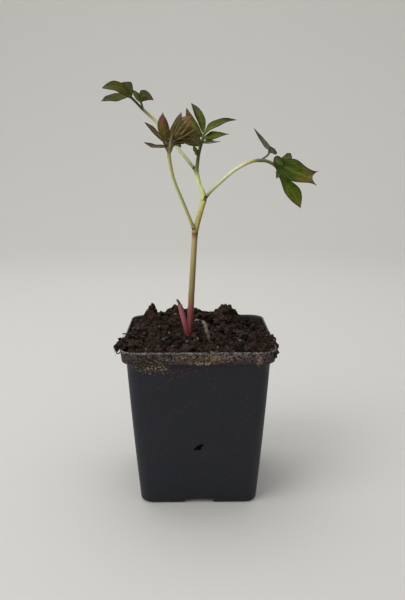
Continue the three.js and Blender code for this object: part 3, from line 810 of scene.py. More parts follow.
    def build_specks(self) -> bmesh.types.BMesh:
        """Scatters flat specks of dried peat over the collar, thickest at the upper left of the front."""
        draw = random.Random(7)
        whole = bmesh.new()
        shades = ["#2B2520", "#453C33", "#6A6056", "#94887A"]
        for _ in range(self.speck_count // self.batch):
            part = bmesh.new()
            for i in range(self.batch):
                side = draw.choices((0, 1, 2, 3), (6, 2, 1, 2))[0]
                along = draw.uniform(-42.0, 42.0)
                height = draw.uniform(self.shoulder_height + 2.6, self.height - 1.0)
                out = self.rim_half - 0.1 * (self.height - height)
                if side == 0 and draw.random() < 0.4:
                    along = min(max(draw.gauss(-32.0, 6.0), -42.0), -20.0)
                    height = self.shoulder_height - 2.6 - abs(draw.gauss(0, 1.3))
                    out = self.wall_half(height)
                size = draw.uniform(0.12, 0.36) * MM
                centre = Matrix.Rotation(side * math.pi / 2, 3, "Z") @ mm((along, -out, height))
                reach = (size, 0.5 * size, size * draw.uniform(0.5, 1.0))
                turn = Quaternion(UP, side * math.pi / 2)
                add_lump(part, centre, reach, turn, 1, 0.5, i, draw.choices(shades, (3, 4, 3, 2))[0])
            pour(part, whole)
        return whole


@dataclass(frozen=True)
class Heap:
    """One heap or hollow of the soil's surface."""

    x: float
    y: float
    reach: float
    rise: float


@dataclass(frozen=True)
class Clod:
    """One large lump of peat that stands out of the surface."""

    centre: Point
    reach: Point
    detail: int
    rough: float = 0.5


@dataclass
class PeatFilling:
    """The peat in the pot: its bed, clods, crumbs, fibres and pale grains."""

    level: float = 117.6
    half: float = 53.2
    corner: float = 10.4
    cells: int = 190
    crumb_count: int = 2800
    fibre_count: int = 280
    batch: int = 50
    heaps: tuple[Heap, ...] = (
        Heap(-38, 39, 5, 9), Heap(-43, 35, 7, 4), Heap(-27, 40, 10, 7.5), Heap(-16, 38, 6.5, 9), Heap(-4, 38, 9, 8.5),
        Heap(9, 39, 7, 6), Heap(21, 38, 8, 11), Heap(31, 36, 6, 4), Heap(46, -24, 15, 4.5), Heap(-46, -34, 12, 4.5),
        Heap(0, -52, 14, 1.5), Heap(-22, 8, 10, -6), Heap(2, 2, 6, -7), Heap(44, 36, 11, -6.5), Heap(-48, 44, 7, -2),
        Heap(-30, 12, 9, 2), Heap(22, 8, 12, 2.5), Heap(30, -14, 10, 1.5),
    )
    clods: tuple[Clod, ...] = (
        Clod((21.5, 33.5, 122.5), (8.6, 8.5, 10.4), 6, 0.42), Clod((18.0, 24.0, 119.0), (6.5, 6.0, 6.5), 5),
        Clod((28.5, 37.0, 120.5), (6.0, 5.5, 7.0), 5), Clod((-37.6, 39.5, 127.6), (3.0, 3.2, 5.2), 5),
        Clod((-18.0, 39.5, 126.0), (4.2, 4.0, 5.3), 5), Clod((-2.6, 39.0, 125.2), (3.6, 3.8, 4.3), 5),
        Clod((-30.0, 37.0, 123.0), (4.4, 4.0, 3.6), 4), Clod((54.0, -21.0, 118.6), (3.4, 5.5, 3.4), 5),
        Clod((53.8, -34.0, 118.0), (3.2, 7.0, 3.0), 5), Clod((52.0, -8.0, 118.6), (3.0, 6.0, 3.0), 5),
        Clod((53.2, -46.0, 117.2), (2.6, 4.5, 2.6), 5), Clod((-52.6, -42.0, 121.5), (3.6, 5.4, 4.4), 5),
        Clod((-51.2, -30.0, 120.8), (4.4, 6.0, 4.6), 5), Clod((-50.0, -14.0, 118.6), (4.0, 6.0, 3.6), 4),
        Clod((-46.0, -40.0, 120.0), (6.0, 6.0, 4.5), 5), Clod((-53.4, -40.0, 124.4), (2.0, 2.4, 1.6), 4, 0.7),
        Clod((-55.9, -41.0, 122.2), (1.7, 2.2, 1.9), 4, 0.8), Clod((-57.8, -42.0, 119.9), (1.4, 2.0, 2.1), 4, 0.8),
    )

    bark: tuple[tuple[Point, Point, str], ...] = (
        ((2.2, 30.0, 126.4), (3.0, 1.6, 0.9), "#3C2721"), ((5.4, 28.0, 125.4), (2.6, 1.4, 1.2), "#32221D"),
        ((-0.6, 26.0, 126.0), (2.8, 1.5, 1.3), "#35311F"), ((7.6, 30.0, 125.8), (2.0, 1.2, 0.8), "#3D2B24"),
        ((-4.2, -8.4, 119.6), (0.9, 0.6, 1.4), "#584E48"),
    )

    def height(self, x: float, y: float) -> float:
        """Gives the surface's height at a place, in millimetres."""
        total = self.level
        for heap in self.heaps:
            total += heap.rise * math.exp(-((x - heap.x) ** 2 + (y - heap.y) ** 2) / heap.reach ** 2)
        total += 0.8 * math.sin(0.52 * x + 1.3) * math.sin(0.6 * y + 0.4)
        total += 0.5 * math.sin(0.4 * x - 0.5 * y)
        spot = Vector((x, y, 0.0))
        total += 2.8 * noise.noise(spot / 7.0) + 2.2 * noise.noise(spot / 3.2)
        near = noise.voronoi(spot / 2.6)[0][0]
        return total + 1.8 * (0.5 - near) + 0.7 * noise.noise(spot / 1.1)

    def round_corner(self, x: float, y: float) -> tuple[float, float]:
        """Moves a point of the square grid into the square with rounded corners.

        Args:
            x: its place from -1 to 1.
            y: its place from -1 to 1.

        Returns:
            The place in millimetres.
        """
        reach = self.half - self.corner
        over_x = max(abs(x) * self.half - reach, 0.0)
        over_y = max(abs(y) * self.half - reach, 0.0)
        length = math.hypot(over_x, over_y)
        share = max(over_x, over_y) / length if length > 0 else 1.0
        size_x = min(abs(x) * self.half, reach) + over_x * share
        size_y = min(abs(y) * self.half, reach) + over_y * share
        return math.copysign(size_x, x), math.copysign(size_y, y)

    def build_bed(self) -> bmesh.types.BMesh:
        """Raises the surface from a grid and closes it down to the pot's floor."""
        bm = bmesh.new()
        bmesh.ops.create_grid(bm, x_segments=self.cells, y_segments=self.cells, size=1.0)
        for vert in bm.verts:
            x, y = self.round_corner(vert.co.x, vert.co.y)
            vert.co = mm((x, y, self.height(x, y)))
        edges = [edge for edge in bm.edges if edge.is_boundary]
        for half, height in ((52.7, 113.6), (49.4, 109.4), (42.4, 14.0), (41.2, 12.0)):
            grown = bmesh.ops.extrude_edge_only(bm, edges=edges)["geom"]
            ring = [item for item in grown if isinstance(item, bmesh.types.BMVert)]
            edges = [item for item in grown if isinstance(item, bmesh.types.BMEdge)]
            widest = max(abs(vert.co.x) for vert in ring)
            for vert in ring:
                vert.co = Vector((vert.co.x * half * MM / widest, vert.co.y * half * MM / widest, height * MM))
        bmesh.ops.edgeloop_fill(bm, edges=edges)
        bmesh.ops.recalc_face_normals(bm, faces=bm.faces)
        return bm

    def build_clods(self) -> bmesh.types.BMesh:
        """Makes the large lumps, each crumbly all over."""
        bm = bmesh.new()
        for i, clod in enumerate(self.clods):
            verts = add_lump(
                bm, mm(clod.centre), mm(clod.reach), Quaternion(), clod.detail, clod.rough, 3.1 * i, "#2A1F19",
            )
            middle = mm(clod.centre)
            for vert in verts:
                spot = vert.co / MM
                near = noise.voronoi(spot / 2.3)[0][0]
                push = 1.1 * (0.45 - near) + 0.8 * noise.noise(spot / 2.0) + 0.4 * noise.noise(spot / 0.9)
                vert.co += (vert.co - middle).normalized() * push * MM
        return bm

    def scatter(self, draw: random.Random) -> Vector:
        """Draws a place on the bed, in millimetres."""
        x, y = self.round_corner(draw.uniform(-0.985, 0.985), draw.uniform(-0.985, 0.985))
        return Vector((x, y, self.height(x, y)))

    def build_crumbs(self) -> bmesh.types.BMesh:
        """Strews loose crumbs over the bed and the clods."""
        draw = random.Random(11)
        whole = bmesh.new()
        shades = ("#0D0907", "#211813", "#3A2D24", "#4E3F35", "#7A6858")
        for _ in range(self.crumb_count // self.batch):
            part = bmesh.new()
            for i in range(self.batch):
                size = draw.choices((0.4, 0.65, 1.1, 2.2), (6, 4, 1, 0.6))[0] * draw.uniform(0.7, 1.3)
                place = self.scatter(draw)
                if size > 1.5:
                    place.xy *= 0.94
                elif draw.random() < 0.22:
                    clod = draw.choice(self.clods)
                    way = Vector((draw.gauss(0, 1), draw.gauss(0, 1), abs(draw.gauss(0, 1)))).normalized()
                    place = Vector(clod.centre) + way * Vector(clod.reach)
                place.z += 0.25 * size
                reach = [size * draw.uniform(0.6, 1.2) * MM for _ in range(3)]
                detail = 3 if size > 1.5 else 2 if size > 1.0 else 1
                tint = draw.choices(shades, (5, 6, 4, 0, 0) if size > 1.5 else (5, 6, 4, 2, 1))[0]
                add_lump(part, place * MM, reach, random_turn(draw), detail, 0.7, i, tint)
            pour(part, whole)
        return whole

    def build_fibres(self) -> bmesh.types.BMesh:
        """Lays curled fibres and rootlets on the bed, and the tuft over the left front corner."""
        draw = random.Random(5)
        whole = bmesh.new()
        shades = ["#130D0A", "#2A1E18", "#41342C", "#665A4E"]
        strands = self.tuft()
        for i in range(self.fibre_count):
            start = self.scatter(draw)
            heading = draw.uniform(0, 2 * math.pi)
            tint = draw.choices(shades, (5, 5, 2, 1))[0]
            radius, stretch = (draw.uniform(0.2, 0.5), 2.0) if i % 4 == 0 else (draw.uniform(0.1, 0.26), 1.0)
            points = [start]
            for _ in range(4):
                heading += draw.gauss(0, 0.7 / stretch)
                step = stretch * draw.uniform(0.8, 2.4)
                x = min(max(points[-1].x + step * math.cos(heading), -51.5), 51.5)
                y = min(max(points[-1].y + step * math.sin(heading), -51.5), 51.5)
                points.append(Vector((x, y, self.height(x, y) + draw.uniform(0.0, 1.2))))
            strand = [Station(tuple(point), radius, tint) for point in points[:-1]]
            strands.append([*strand, Station(tuple(points[-1]), 0.4 * radius, tint)])
        for strand in strands:
            part = bmesh.new()
            sweep(part, strand, 5, 3)
            pour(part, whole)
        bmesh.ops.recalc_face_normals(whole, faces=whole.faces)
        return whole

    def tuft(self) -> list[list[Station]]:
        """Lists the strands that hang over the rim at the left front corner."""
        draw = random.Random(3)
        strands = []
        for _ in range(30):
            root = Vector((draw.uniform(-54.5, -50.0), draw.uniform(-46.0, -37.0), draw.uniform(121.5, 124.8)))
            tip = Vector((draw.uniform(-59.6, -56.4), root.y + draw.gauss(-1.0, 1.5), draw.uniform(116.2, 120.5)))
            crest = root.lerp(tip, 0.45) + Vector((0, 0, draw.uniform(0.2, 1.6)))
            shade = draw.choice(["#0E0A08", "#1E1510", "#33271E"])
            radius = draw.uniform(0.18, 0.42)
            strands.append([Station(tuple(p), r, shade) for p, r in ((root, radius), (crest, radius), (tip, 0.4 * radius))])
        twig = [(-46.5, -36.0, 126.4), (-50.4, -38.0, 128.8), (-53.5, -38.5, 129.1)]
        loop = [(-57.0, -42.0, 119.0), (-57.4, -43.0, 116.4), (-55.8, -43.4, 116.2), (-54.9, -43.6, 117.6)]
        strands.append([Station(point, 0.5, "#1B1410") for point in twig])
        strands.append([Station(point, 0.4, "#1B1410") for point in loop])
        return strands

    def build_grains(self) -> bmesh.types.BMesh:
        """Sets a few pale grains of perlite and bits of bark on the surface."""
        draw = random.Random(23)
        bm = bmesh.new()
        pale = [(-25.3, -20.0), (-14.8, -14.2), (-28.6, -36.2), (-8.4, -20.7), (1.7, -45.8), (12.7, -47.0), (30.0, -30.0)]
        for i, (x, y) in enumerate(pale):
            size = draw.uniform(0.8, 1.25)
            place = mm((x, y, self.height(x, y) + 0.4))
            reach = [size * draw.uniform(0.8, 1.1) * MM for _ in range(3)]
            add_lump(bm, place, reach, random_turn(draw), 3, 0.5, 5.3 * i, draw.choice(["#6E6A66", "#5C5854"]))
        for i in range(60):
            place = self.scatter(draw) * MM
            reach = (draw.uniform(0.5, 1.3) * MM, draw.uniform(0.3, 0.6) * MM, draw.uniform(0.2, 0.4) * MM)
            shade = draw.choice(["#443A32", "#3A2C24", "#30251E", "#524840"])
            add_lump(bm, place, reach, random_turn(draw), 2, 0.4, 2.9 * i, shade)
        for i, (centre, reach, shade) in enumerate(self.bark):
            add_lump(bm, mm(centre), mm(reach), random_turn(draw), 3, 0.6, 4.3 * i, shade)
        return bm

    def build(self, peat: bpy.types.Material, loose: bpy.types.Material) -> None:
        """Makes every part of the filling.

        Args:
            peat: the material of the bed and the clods.
            loose: the material of the crumbs, fibres and grains, which carry their own colours.
        """
        make_piece(self.build_bed(), "peat_bed", peat, ["soil"])
        make_piece(self.build_clods(), "peat_clods", peat)
        make_piece(self.build_crumbs(), "peat_crumbs", loose)
        make_piece(self.build_fibres(), "peat_fibres", loose)
        make_piece(self.build_grains(), "pale_grains", loose)


# Joints of the stem, forks of its leaf stalks and ends of the ribs, as in the solids.
JOINT_LOW: Point = (-2.1, -4, 197)
JOINT_MIDDLE: Point = (4.2, -2, 220)
JOINT_HIGH: Point = (-1, 0, 241)
FORK_LEFT: Point = (-19.3, -21, 258)
FORK_RIGHT: Point = (44.2, -9, 248.4)
FORK_BACK: Point = (-40.7, 20, 285.6)
BACK_OUTER: Point = (-48.5, 16, 293.5)
BACK_INNER: Point = (-42.4, 27, 291)


@dataclass
class PeonyStem:
    """The stem with its side shoot, swollen joints and leaf stalks, grown as one piece."""

    voxel: float = 0.28
    smoothing: int = 6

    def shaft(self) -> list[Station]:
        """Lists the stem from the soil to the lowest joint, red at its foot and olive above."""
        return [
            Station((-6.6, -6, 97), 2.2, "#461A1C"), Station((-6.6, -6, 117.5), 2.3, "#4A2A28", "#372522"),
            Station((-6.5, -6, 121.5), 2.35, "#7A3638", "#522C2A"), Station((-6.1, -5.7, 130), 2.35, "#934F53", "#692F30"),
            Station((-5.6, -5.5, 138), 2.35, "#97564F", "#733230"), Station((-5.2, -5.3, 144), 2.3, "#9A6E54", "#703C30"),
            Station((-5.0, -5.2, 150), 2.3, "#9A8454", "#6A4C34"), Station((-4.5, -5, 157.5), 2.25, "#9E8E5C", "#665438"),
            Station((-3.4, -4.5, 177), 2.2, "#AEA06C", "#70603E"), Station((-2.6, -4.1, 190), 2.15, "#B8A872", "#745E3C"),
            Station((-2.3, -4, 194.6), 2.25, "#94704A", "#5A4028"), Station(JOINT_LOW, 2.35, "#7A5834", "#4E3620"),
        ]

    def upper_shaft(self) -> list[Station]:
        """Lists the stem above the lowest joint, yellow-green and thinner at each joint."""
        return [
            Station(JOINT_LOW, 2.3, "#A99858", "#6E5C38"), Station((-0.6, -3.6, 203), 2.15, "#C3B96F", "#7E713C"),
            Station((1.2, -3, 209.5), 2.1, "#C9BF75", "#867942"), Station((3.0, -2.4, 215.5), 2.05, "#D2CB79", "#8C8042"),
            Station(JOINT_MIDDLE, 2.15, "#D9DB85", "#8E8C46"), Station((3.6, -1.7, 226), 1.75, "#E0E89A", "#90A053"),
            Station((1.2, -1, 231), 1.65, "#E2EEA2", "#98A75A"), Station((-0.2, -0.4, 237), 1.55, "#D9E69C", "#87984A"),
            Station(JOINT_HIGH, 1.65, "#8E9A54", "#525E26"), Station((-0.3, 0.5, 246), 1.35, "#6A7238", "#3C441C"),
            Station((0.25, 0.95, 250.6), 1.3, "#565C2C", "#34391A"),
        ]

    def shoot(self) -> list[Station]:
        """Lists the cut side shoot, crimson with a withered grey tip."""
        return [
            Station((-6.6, -6.7, 113.5), 1.85, "#6C2C36"), Station((-8.3, -7.0, 121), 1.9, "#8A3C48", "#5E202B"),
            Station((-10.2, -7.2, 129), 1.9, "#B76371", "#8A3748"), Station((-12.2, -7.6, 137), 1.85, "#C0757F", "#974653"),
            Station((-13.5, -7.9, 142.4), 1.75, "#A7636F", "#7A3841"), Station((-13.7, -7.9, 143.3), 1.15, "#5A4F4D"),
            Station((-14.6, -8, 145.2), 1.0, "#56514F", "#363331"), Station((-16.0, -8, 147.2), 0.75, "#686361", "#443F3D"),
        ]

    def stalks(self) -> list[list[Station]]:
        """Lists the three leaf stalks, each from its joint to its fork."""
        left = [
            Station(JOINT_LOW, 1.6, "#A88F49", "#725F34"), Station((-5.2, -6.2, 205), 1.3, "#C1BD79", "#7A7945"),
            Station((-9.5, -9, 216), 1.2, "#C8C57D", "#7A7E4E"), Station((-17, -15, 235), 1.2, "#D0D18A", "#777E50"),
            Station((-19.6, -18.9, 248), 1.25, "#CEC77B", "#777442"), Station((-20, -20.4, 254), 1.25, "#BEB469", "#6D6639"),
            Station(FORK_LEFT, 1.2, "#A8A157", "#5F572E"),
        ]
        # The arched stalk's pale cream tints paint a highlight along its top; its second colours paint the shade below.
        right = [
            Station(JOINT_MIDDLE, 1.5, "#5C5B27", "#363518"), Station((6.6, -2.4, 223.2), 1.3, "#8E904E", "#565929"),
            Station((10.3, -3, 227.5), 1.25, "#CECF92", "#82864C"), Station((16.4, -5, 233.2), 1.25, "#DBDBA7", "#898C53"),
            Station((25.1, -7, 240.8), 1.25, "#E8E6B5", "#929256"), Station((32, -8, 245), 1.25, "#E0DDA7", "#928E4F"),
            Station((38, -8.7, 247.6), 1.2, "#BDB36E", "#77713C"), Station((41.9, -9, 248.4), 1.25, "#827844", "#504A28"),
            Station(FORK_RIGHT, 1.25, "#6E6436", "#464024"),
        ]
        back = [
            Station(JOINT_HIGH, 1.5, "#6A7A34", "#3E4A1C"), Station((-4.6, 2.6, 245.2), 1.3, "#A8AC7A", "#7C824C"),
            Station((-14.5, 8, 257.4), 1.35, "#CACA9C", "#A0A06A"), Station((-29.3, 16, 275), 1.3, "#BCBC8C", "#8C8C58"),
            Station((-36, 18.6, 281.4), 1.2, "#8E8E58", "#5C6034"), Station(FORK_BACK, 1.1, "#5A5E30", "#383C1C"),
        ]
        return [left, right, back]

    def build(self, skin: bpy.types.Material) -> None:
        """Makes the whole stem.

        Args:
            skin: its material.
        """
        bm = bmesh.new()
        rings: list[Ring] = []
        for stations in (self.shaft(), self.upper_shaft(), self.shoot(), *self.stalks()):
            rings += sweep(bm, stations, 24, 20)
        swellings = ((JOINT_LOW, 2.55, 0.85), (JOINT_MIDDLE, 2.3, 0.9), (JOINT_HIGH, 1.9, 0.9))
        for i, (place, radius, squat) in enumerate(swellings):
            add_lump(bm, mm(place), mm((radius, radius, radius * squat)), Quaternion(), 4, 0.08, i, "#000000")
        for place, tint in (((6.1, -2.6, 222.4), "#33331A"), ((-2.7, 0.6, 243.0), "#3E4A18"), ((-3.6, -5.0, 199.8), "#5A4424")):
            add_lump(bm, mm(place), mm((0.9, 0.9, 1.3)), Quaternion(), 3, 0.1, 9.0, tint)
            shade = Vector(to_linear(tint)[:3])
            rings.append(Ring(mm(place), UP, shade, shade))
        bm.verts.layers.float_color.remove(bm.verts.layers.float_color["tint"])
        make_piece(fuse(bm, rings, self.voxel, self.smoothing), "stem_skin", skin, ["stem"])


class BladeColour(Enum):
    """Colours of a leaflet near its base, in its middle and at its tip, and how pale its veins are."""

    DUSKY = ("#4C3E2A", "#796F59", "#4E4047", 0.2)
    PLUM = ("#524814", "#5C4C2A", "#72645A", 0.25)
    RED_TIPPED = ("#403D14", "#6B5D2C", "#855E5C", 0.15)
    PLEATED_GREY = ("#675B26", "#746540", "#797961", 0.8)
    PLEATED_BROWN = ("#715F34", "#705C33", "#907254", 1.0)
    PLEATED_OLIVE = ("#2A2306", "#413919", "#5A4826", 0.9)
    RUST = ("#434F0F", "#8A8445", "#7C5B43", 0.45)
    SHADED = ("#353107", "#5A5718", "#424415", 0.2)
    FRESH = ("#4C5912", "#525C16", "#524D3B", 0.25)
    SAGE = ("#758234", "#464D20", "#4B4148", 0.3)
    MOSS = ("#687039", "#4D5120", "#363323", 0.3)
    BRIGHT = ("#3C4E0B", "#485C12", "#3D451D", 0.25)
    MURKY = ("#696E41", "#616749", "#444634", 0.2)
    FADED = ("#605A35", "#57562B", "#363916", 0.2)
    SEA_GREEN = ("#5C6234", "#939776", "#656952", 0.2)
    UMBER = ("#515027", "#5A5133", "#574C36", 0.3)
    MEADOW = ("#60672A", "#545F1D", "#424224", 0.25)
    LEAF_GREEN = ("#464D06", "#4B4D0B", "#4E5529", 0.3)
    OLIVE = ("#44470C", "#343706", "#242006", 0.15)
    BROWN_OLIVE = ("#433E0B", "#504D21", "#64554F", 0.3)
    GREY_BROWN = ("#60624A", "#646251", "#4A4344", 0.3)
    AMBER_TIPPED = ("#233006", "#3F5107", "#6D5A33", 0.2)
    DEEP = ("#5F6F2E", "#5E7317", "#58572A", 0.3)
    GREY_GREEN = ("#4A6122", "#546C2A", "#4E5031", 0.3)


@dataclass(frozen=True)
class Blotch:
    """A soft patch of another colour, placed by shares of a blade's length and half width."""

    colour: str
    along: float
    aside: float
    reach: float
    depth: float = 0.9

    def share(self, u: float, v: float) -> float:
        """Tells how strongly the patch colours a point of the blade."""
        return self.depth * math.exp(-((u - self.along) / self.reach) ** 2 - ((v - self.aside) / (2 * self.reach)) ** 2)


@dataclass(frozen=True)
class Leaflet:
    """One folded, arched blade.

    Its fields are its two ends, its half width, the side that its upper face looks to, how far its
    rib arches to that side and bows across, the fold of its halves in degrees, two powers that set
    where it is widest, and its colours. A blade with two tips has an end half width and a notch.
    """

    base: Point
    tip: Point
    half: float
    face: Point
    arch: float
    bow: float
    fold: float
    near: float
    far: float
    colours: BladeColour
    end: float = 0.0
    notch: float = 0.0
    wave: float = 0.35
    pleat: float = 0.0
    rims: tuple[float, float] = (1.0, 1.0)
    blotches: tuple[Blotch, ...] = ()

    LENGTH_CELLS = 44
    WIDTH_CELLS = 20
    STUB = 0.25
    VEIN_SPACING = 2.6
    VEIN_SLANT = 1.9
    QUILT = 0.14
    SWING = 0.6
    DARK_POINT = 0.5

    def grow(self, bm: bmesh.types.BMesh) -> None:
        """Adds the blade to a mesh, as a grid that is bent to its form."""
        tint = bm.verts.layers.float_color.get("tint") or bm.verts.layers.float_color.new("tint")
        flat = bm.verts.layers.float_vector.get("flat") or bm.verts.layers.float_vector.new("flat")
        rim = bm.verts.layers.float.get("rim") or bm.verts.layers.float.new("rim")
        veins = bm.verts.layers.float.get("veins") or bm.verts.layers.float.new("veins")
        start, chord = Vector(self.base), Vector(self.tip) - Vector(self.base)
        length = chord.length
        normal = Vector(self.face)
        normal = (normal - chord * normal.dot(chord) / length ** 2).normalized()
        side = normal.cross(chord).normalized()
        widest = self.near / (self.near + self.far)
        peak = widest ** self.near * (1 - widest) ** self.far
        lift, spread = math.sin(math.radians(self.fold)), math.cos(math.radians(self.fold))
        *shades, pale = self.colours.value
        base_tint, middle_tint, tip_tint = (Vector(to_linear(shade)) for shade in shades)
        grid = bmesh.ops.create_grid(bm, x_segments=self.LENGTH_CELLS, y_segments=self.WIDTH_CELLS, size=1.0)
        for vert in grid["verts"]:
            u, v = (vert.co.x + 1) / 2, vert.co.y
            hump, slope = 4 * u * (1 - u), 4 * (1 - 2 * u)
            along = (chord + normal * self.arch * slope + side * self.SWING * self.bow * slope).normalized()
            up = (normal - along * normal.dot(along)).normalized()
            across = up.cross(along)
            width = max(self.half * u ** self.near * (1 - u) ** self.far / peak + self.end * u ** 6, self.STUB)
            aside = abs(v) * width
            folded = math.sqrt(v * v + 0.012) - 0.11
            ripple = self.wave * math.sin(4 * math.pi * u + self.half) * v * v * width / self.half
            quilted = math.cos(2 * math.pi * (u * length - self.VEIN_SLANT * aside) / (2 * self.VEIN_SPACING))
            relief = -self.QUILT * abs(quilted) * (1 - v ** 4) * min(1.0, width / 2)
            pleats = self.pleat * math.cos(3 * math.pi * v) * hump
            rise = width * folded * lift + ripple + relief + pleats
            cut = self.notch * (v * v - 1) * u ** 8
            place = start + chord * u + along * cut + normal * self.arch * hump + side * self.bow * hump
            vert.co = (place + across * width * v * spread + up * rise) * MM
            shade = base_tint.lerp(middle_tint, smoothstep(0.0, 0.55, u)).lerp(tip_tint, smoothstep(0.5, 1.0, u))
            for blotch in self.blotches:
                shade = shade.lerp(Vector(to_linear(blotch.colour)), blotch.share(u, v))
            cut_edge = smoothstep(0.9, 1.0, u) if self.end else 0.0
            point = 0.0 if self.end else self.DARK_POINT * smoothstep(0.88, 1.0, u)
            # The tint follows the pleats: lighter on their ridges as pale ribs, darker in their valleys as painted
            # shade.
            vert[tint] = shade * (1 + 1.6 * pleats) * (1 - point)
            vert[flat] = Vector((u * length, v * width, 0.0))
            vert[rim] = max(abs(v) * self.rims[v > 0], cut_edge)
            vert[veins] = pale * (1 - 0.45 * u)


@dataclass
class DividedLeaf:
    """One divided leaf: its leaflets, and the ribs that carry them."""

    name: str
    leaflets: tuple[Leaflet, ...]
    ribs: tuple[tuple[Station, ...], ...]
    thickness: float = 0.38
    voxel: float = 0.2

    def build(self, blade: bpy.types.Material, skin: bpy.types.Material) -> None:
        """Makes the leaf's blades and its ribs.

        Args:
            blade: the material of the leaflets.
            skin: the material of the ribs.
        """
        bm = bmesh.new()
        for leaflet in self.leaflets:
            leaflet.grow(bm)
        blades = make_piece(bm, f"{self.name}_blades", blade, [self.name])
        thicken = blades.modifiers.new("Thickness", "SOLIDIFY")
        thicken.thickness = self.thickness * MM
        thicken.offset = 0.0
        bm = bmesh.new()
        rings: list[Ring] = []
        for rib in self.ribs:
            rings += sweep(bm, rib, 16, 10)
        bm.verts.layers.float_color.remove(bm.verts.layers.float_color["tint"])
        make_piece(fuse(bm, rings, self.voxel, 4), f"{self.name}_ribs", skin, [self.name])


def left_leaf() -> DividedLeaf:
    """Describes the leaf on the lowest stalk, whose leaflets stand up like a hand."""
    olive, dark = "#665E34", "#3A3016"
    return DividedLeaf(
        "leaf_left",
        (
            Leaflet((-20, -21, 258), (-36, -32, 260), 3.1, (0, 0.35, 1), -2, 0, 15, 1.0, 0.9, BladeColour.DUSKY),
            Leaflet(
                (-21.4, -20.4, 259.2), (-36.9, -12, 274.3), 4.0, (0.75, -0.5, 0.5), -2, -2, 30, 0.95, 0.75,
                BladeColour.PLUM,
            ),
            Leaflet(
                (-21.1, -22, 260), (-23.3, -32, 279.2), 4.1, (0.15, 1, 0.2), 1.6, -1.6, 14, 1.04, 1.25,
                BladeColour.RED_TIPPED, blotches=(
                    Blotch("#8A504C", 0.74, -0.45, 0.16), Blotch("#3C3418", 0.6, 0.9, 0.25, 0.7),
                    Blotch("#3A1E20", 1.0, 0.0, 0.1),
                ),
            ),
            Leaflet(
                (-19.1, -22, 259.6), (-11.2, -27, 279.7), 3.7, (-0.55, 1, 0), 3.1, 1.9, 20, 0.7, 0.95,
                BladeColour.PLEATED_GREY, pleat=0.35, rims=(0.75, 0.75),
            ),
            Leaflet(
                (-18.5, -21.5, 260.4), (-5.1, -20, 277.7), 4.7, (-0.1, 1, -0.1), 1, -1, 12, 0.9, 0.7,
                BladeColour.PLEATED_BROWN, pleat=0.4, rims=(0.75, 0.2),
            ),
            Leaflet(
                (-17.8, -21.5, 261), (-2.2, -18, 269.6), 5.0, (-0.1, 1, -0.1), 1, 0.6, 12, 0.8, 0.7,
                BladeColour.PLEATED_OLIVE, pleat=0.4, rims=(0.2, 0.6),
            ),
            Leaflet((-18.4, -20, 258.4), (-12.3, -4, 257.5), 3, (0, 0, 1), 1, 0, 15, 1, 1, BladeColour.SHADED),
        ),
        (
            (
                Station((-19.9, -21, 253.4), 1.15, "#98905A", olive), Station((-21.2, -21, 256), 1.05, olive, dark),
                Station((-22.4, -21, 258), 1.0, olive, dark), Station((-23.5, -21, 260.7), 0.7, dark),
            ),
            (
                Station((-19.8, -21.2, 253.4), 1.15, "#98905A", olive), Station((-20.4, -21.5, 255.8), 1.0, "#847C4A", olive),
                Station((-20.9, -21.5, 258), 1.0, "#8E8654", olive), Station((-21.7, -21.6, 260.3), 0.85, olive, dark),
                Station((-22.3, -21.8, 262.2), 0.6, dark),
            ),
            (
                Station((-19.6, -21.3, 253.6), 1.1, "#98905A", olive), Station((-19.3, -21.8, 256), 1.0, "#8E8654", dark),
                Station((-19.1, -21.8, 258.7), 0.95, "#8E8654", dark), Station((-18.6, -21.9, 262), 0.8, "#847A58", dark),
                Station((-17.4, -21.8, 266.4), 0.45, "#7A7252"),
            ),
            (
                Station((-19.4, -21.2, 253.8), 1.1, "#98905A", olive), Station((-18.6, -21.5, 255.8), 1.05, olive, dark),
                Station((-17.7, -21.5, 258), 1.0, olive, dark), Station((-17.5, -21.5, 260.7), 0.85, olive, dark),
                Station((-17.1, -21.6, 263.7), 0.6, dark), Station((-15.9, -21.6, 265.2), 0.45, dark),
            ),
            (
                Station((-18.6, -20.6, 256.4), 0.95, olive, dark), Station((-17.6, -19.2, 258), 0.8, "#4E4628", dark),
                Station((-16.2, -18, 258.5), 0.5, dark),
            ),
            (Station(FORK_LEFT, 1.1, olive), Station((-21.4, -22.2, 258.4), 0.6, dark)),
            (
                Station((-20.6, -21.3, 257.4), 0.9, dark), Station((-20.2, -21.3, 260.2), 0.8, dark),
                Station((-19.8, -21.3, 262.6), 0.5, dark),
            ),
            (
                Station((-18.2, -20.8, 257.2), 0.8, dark), Station((-16.4, -20.8, 259.4), 0.9, dark),
                Station((-14.4, -20.8, 260.4), 0.5, dark),
            ),
        ),
    )


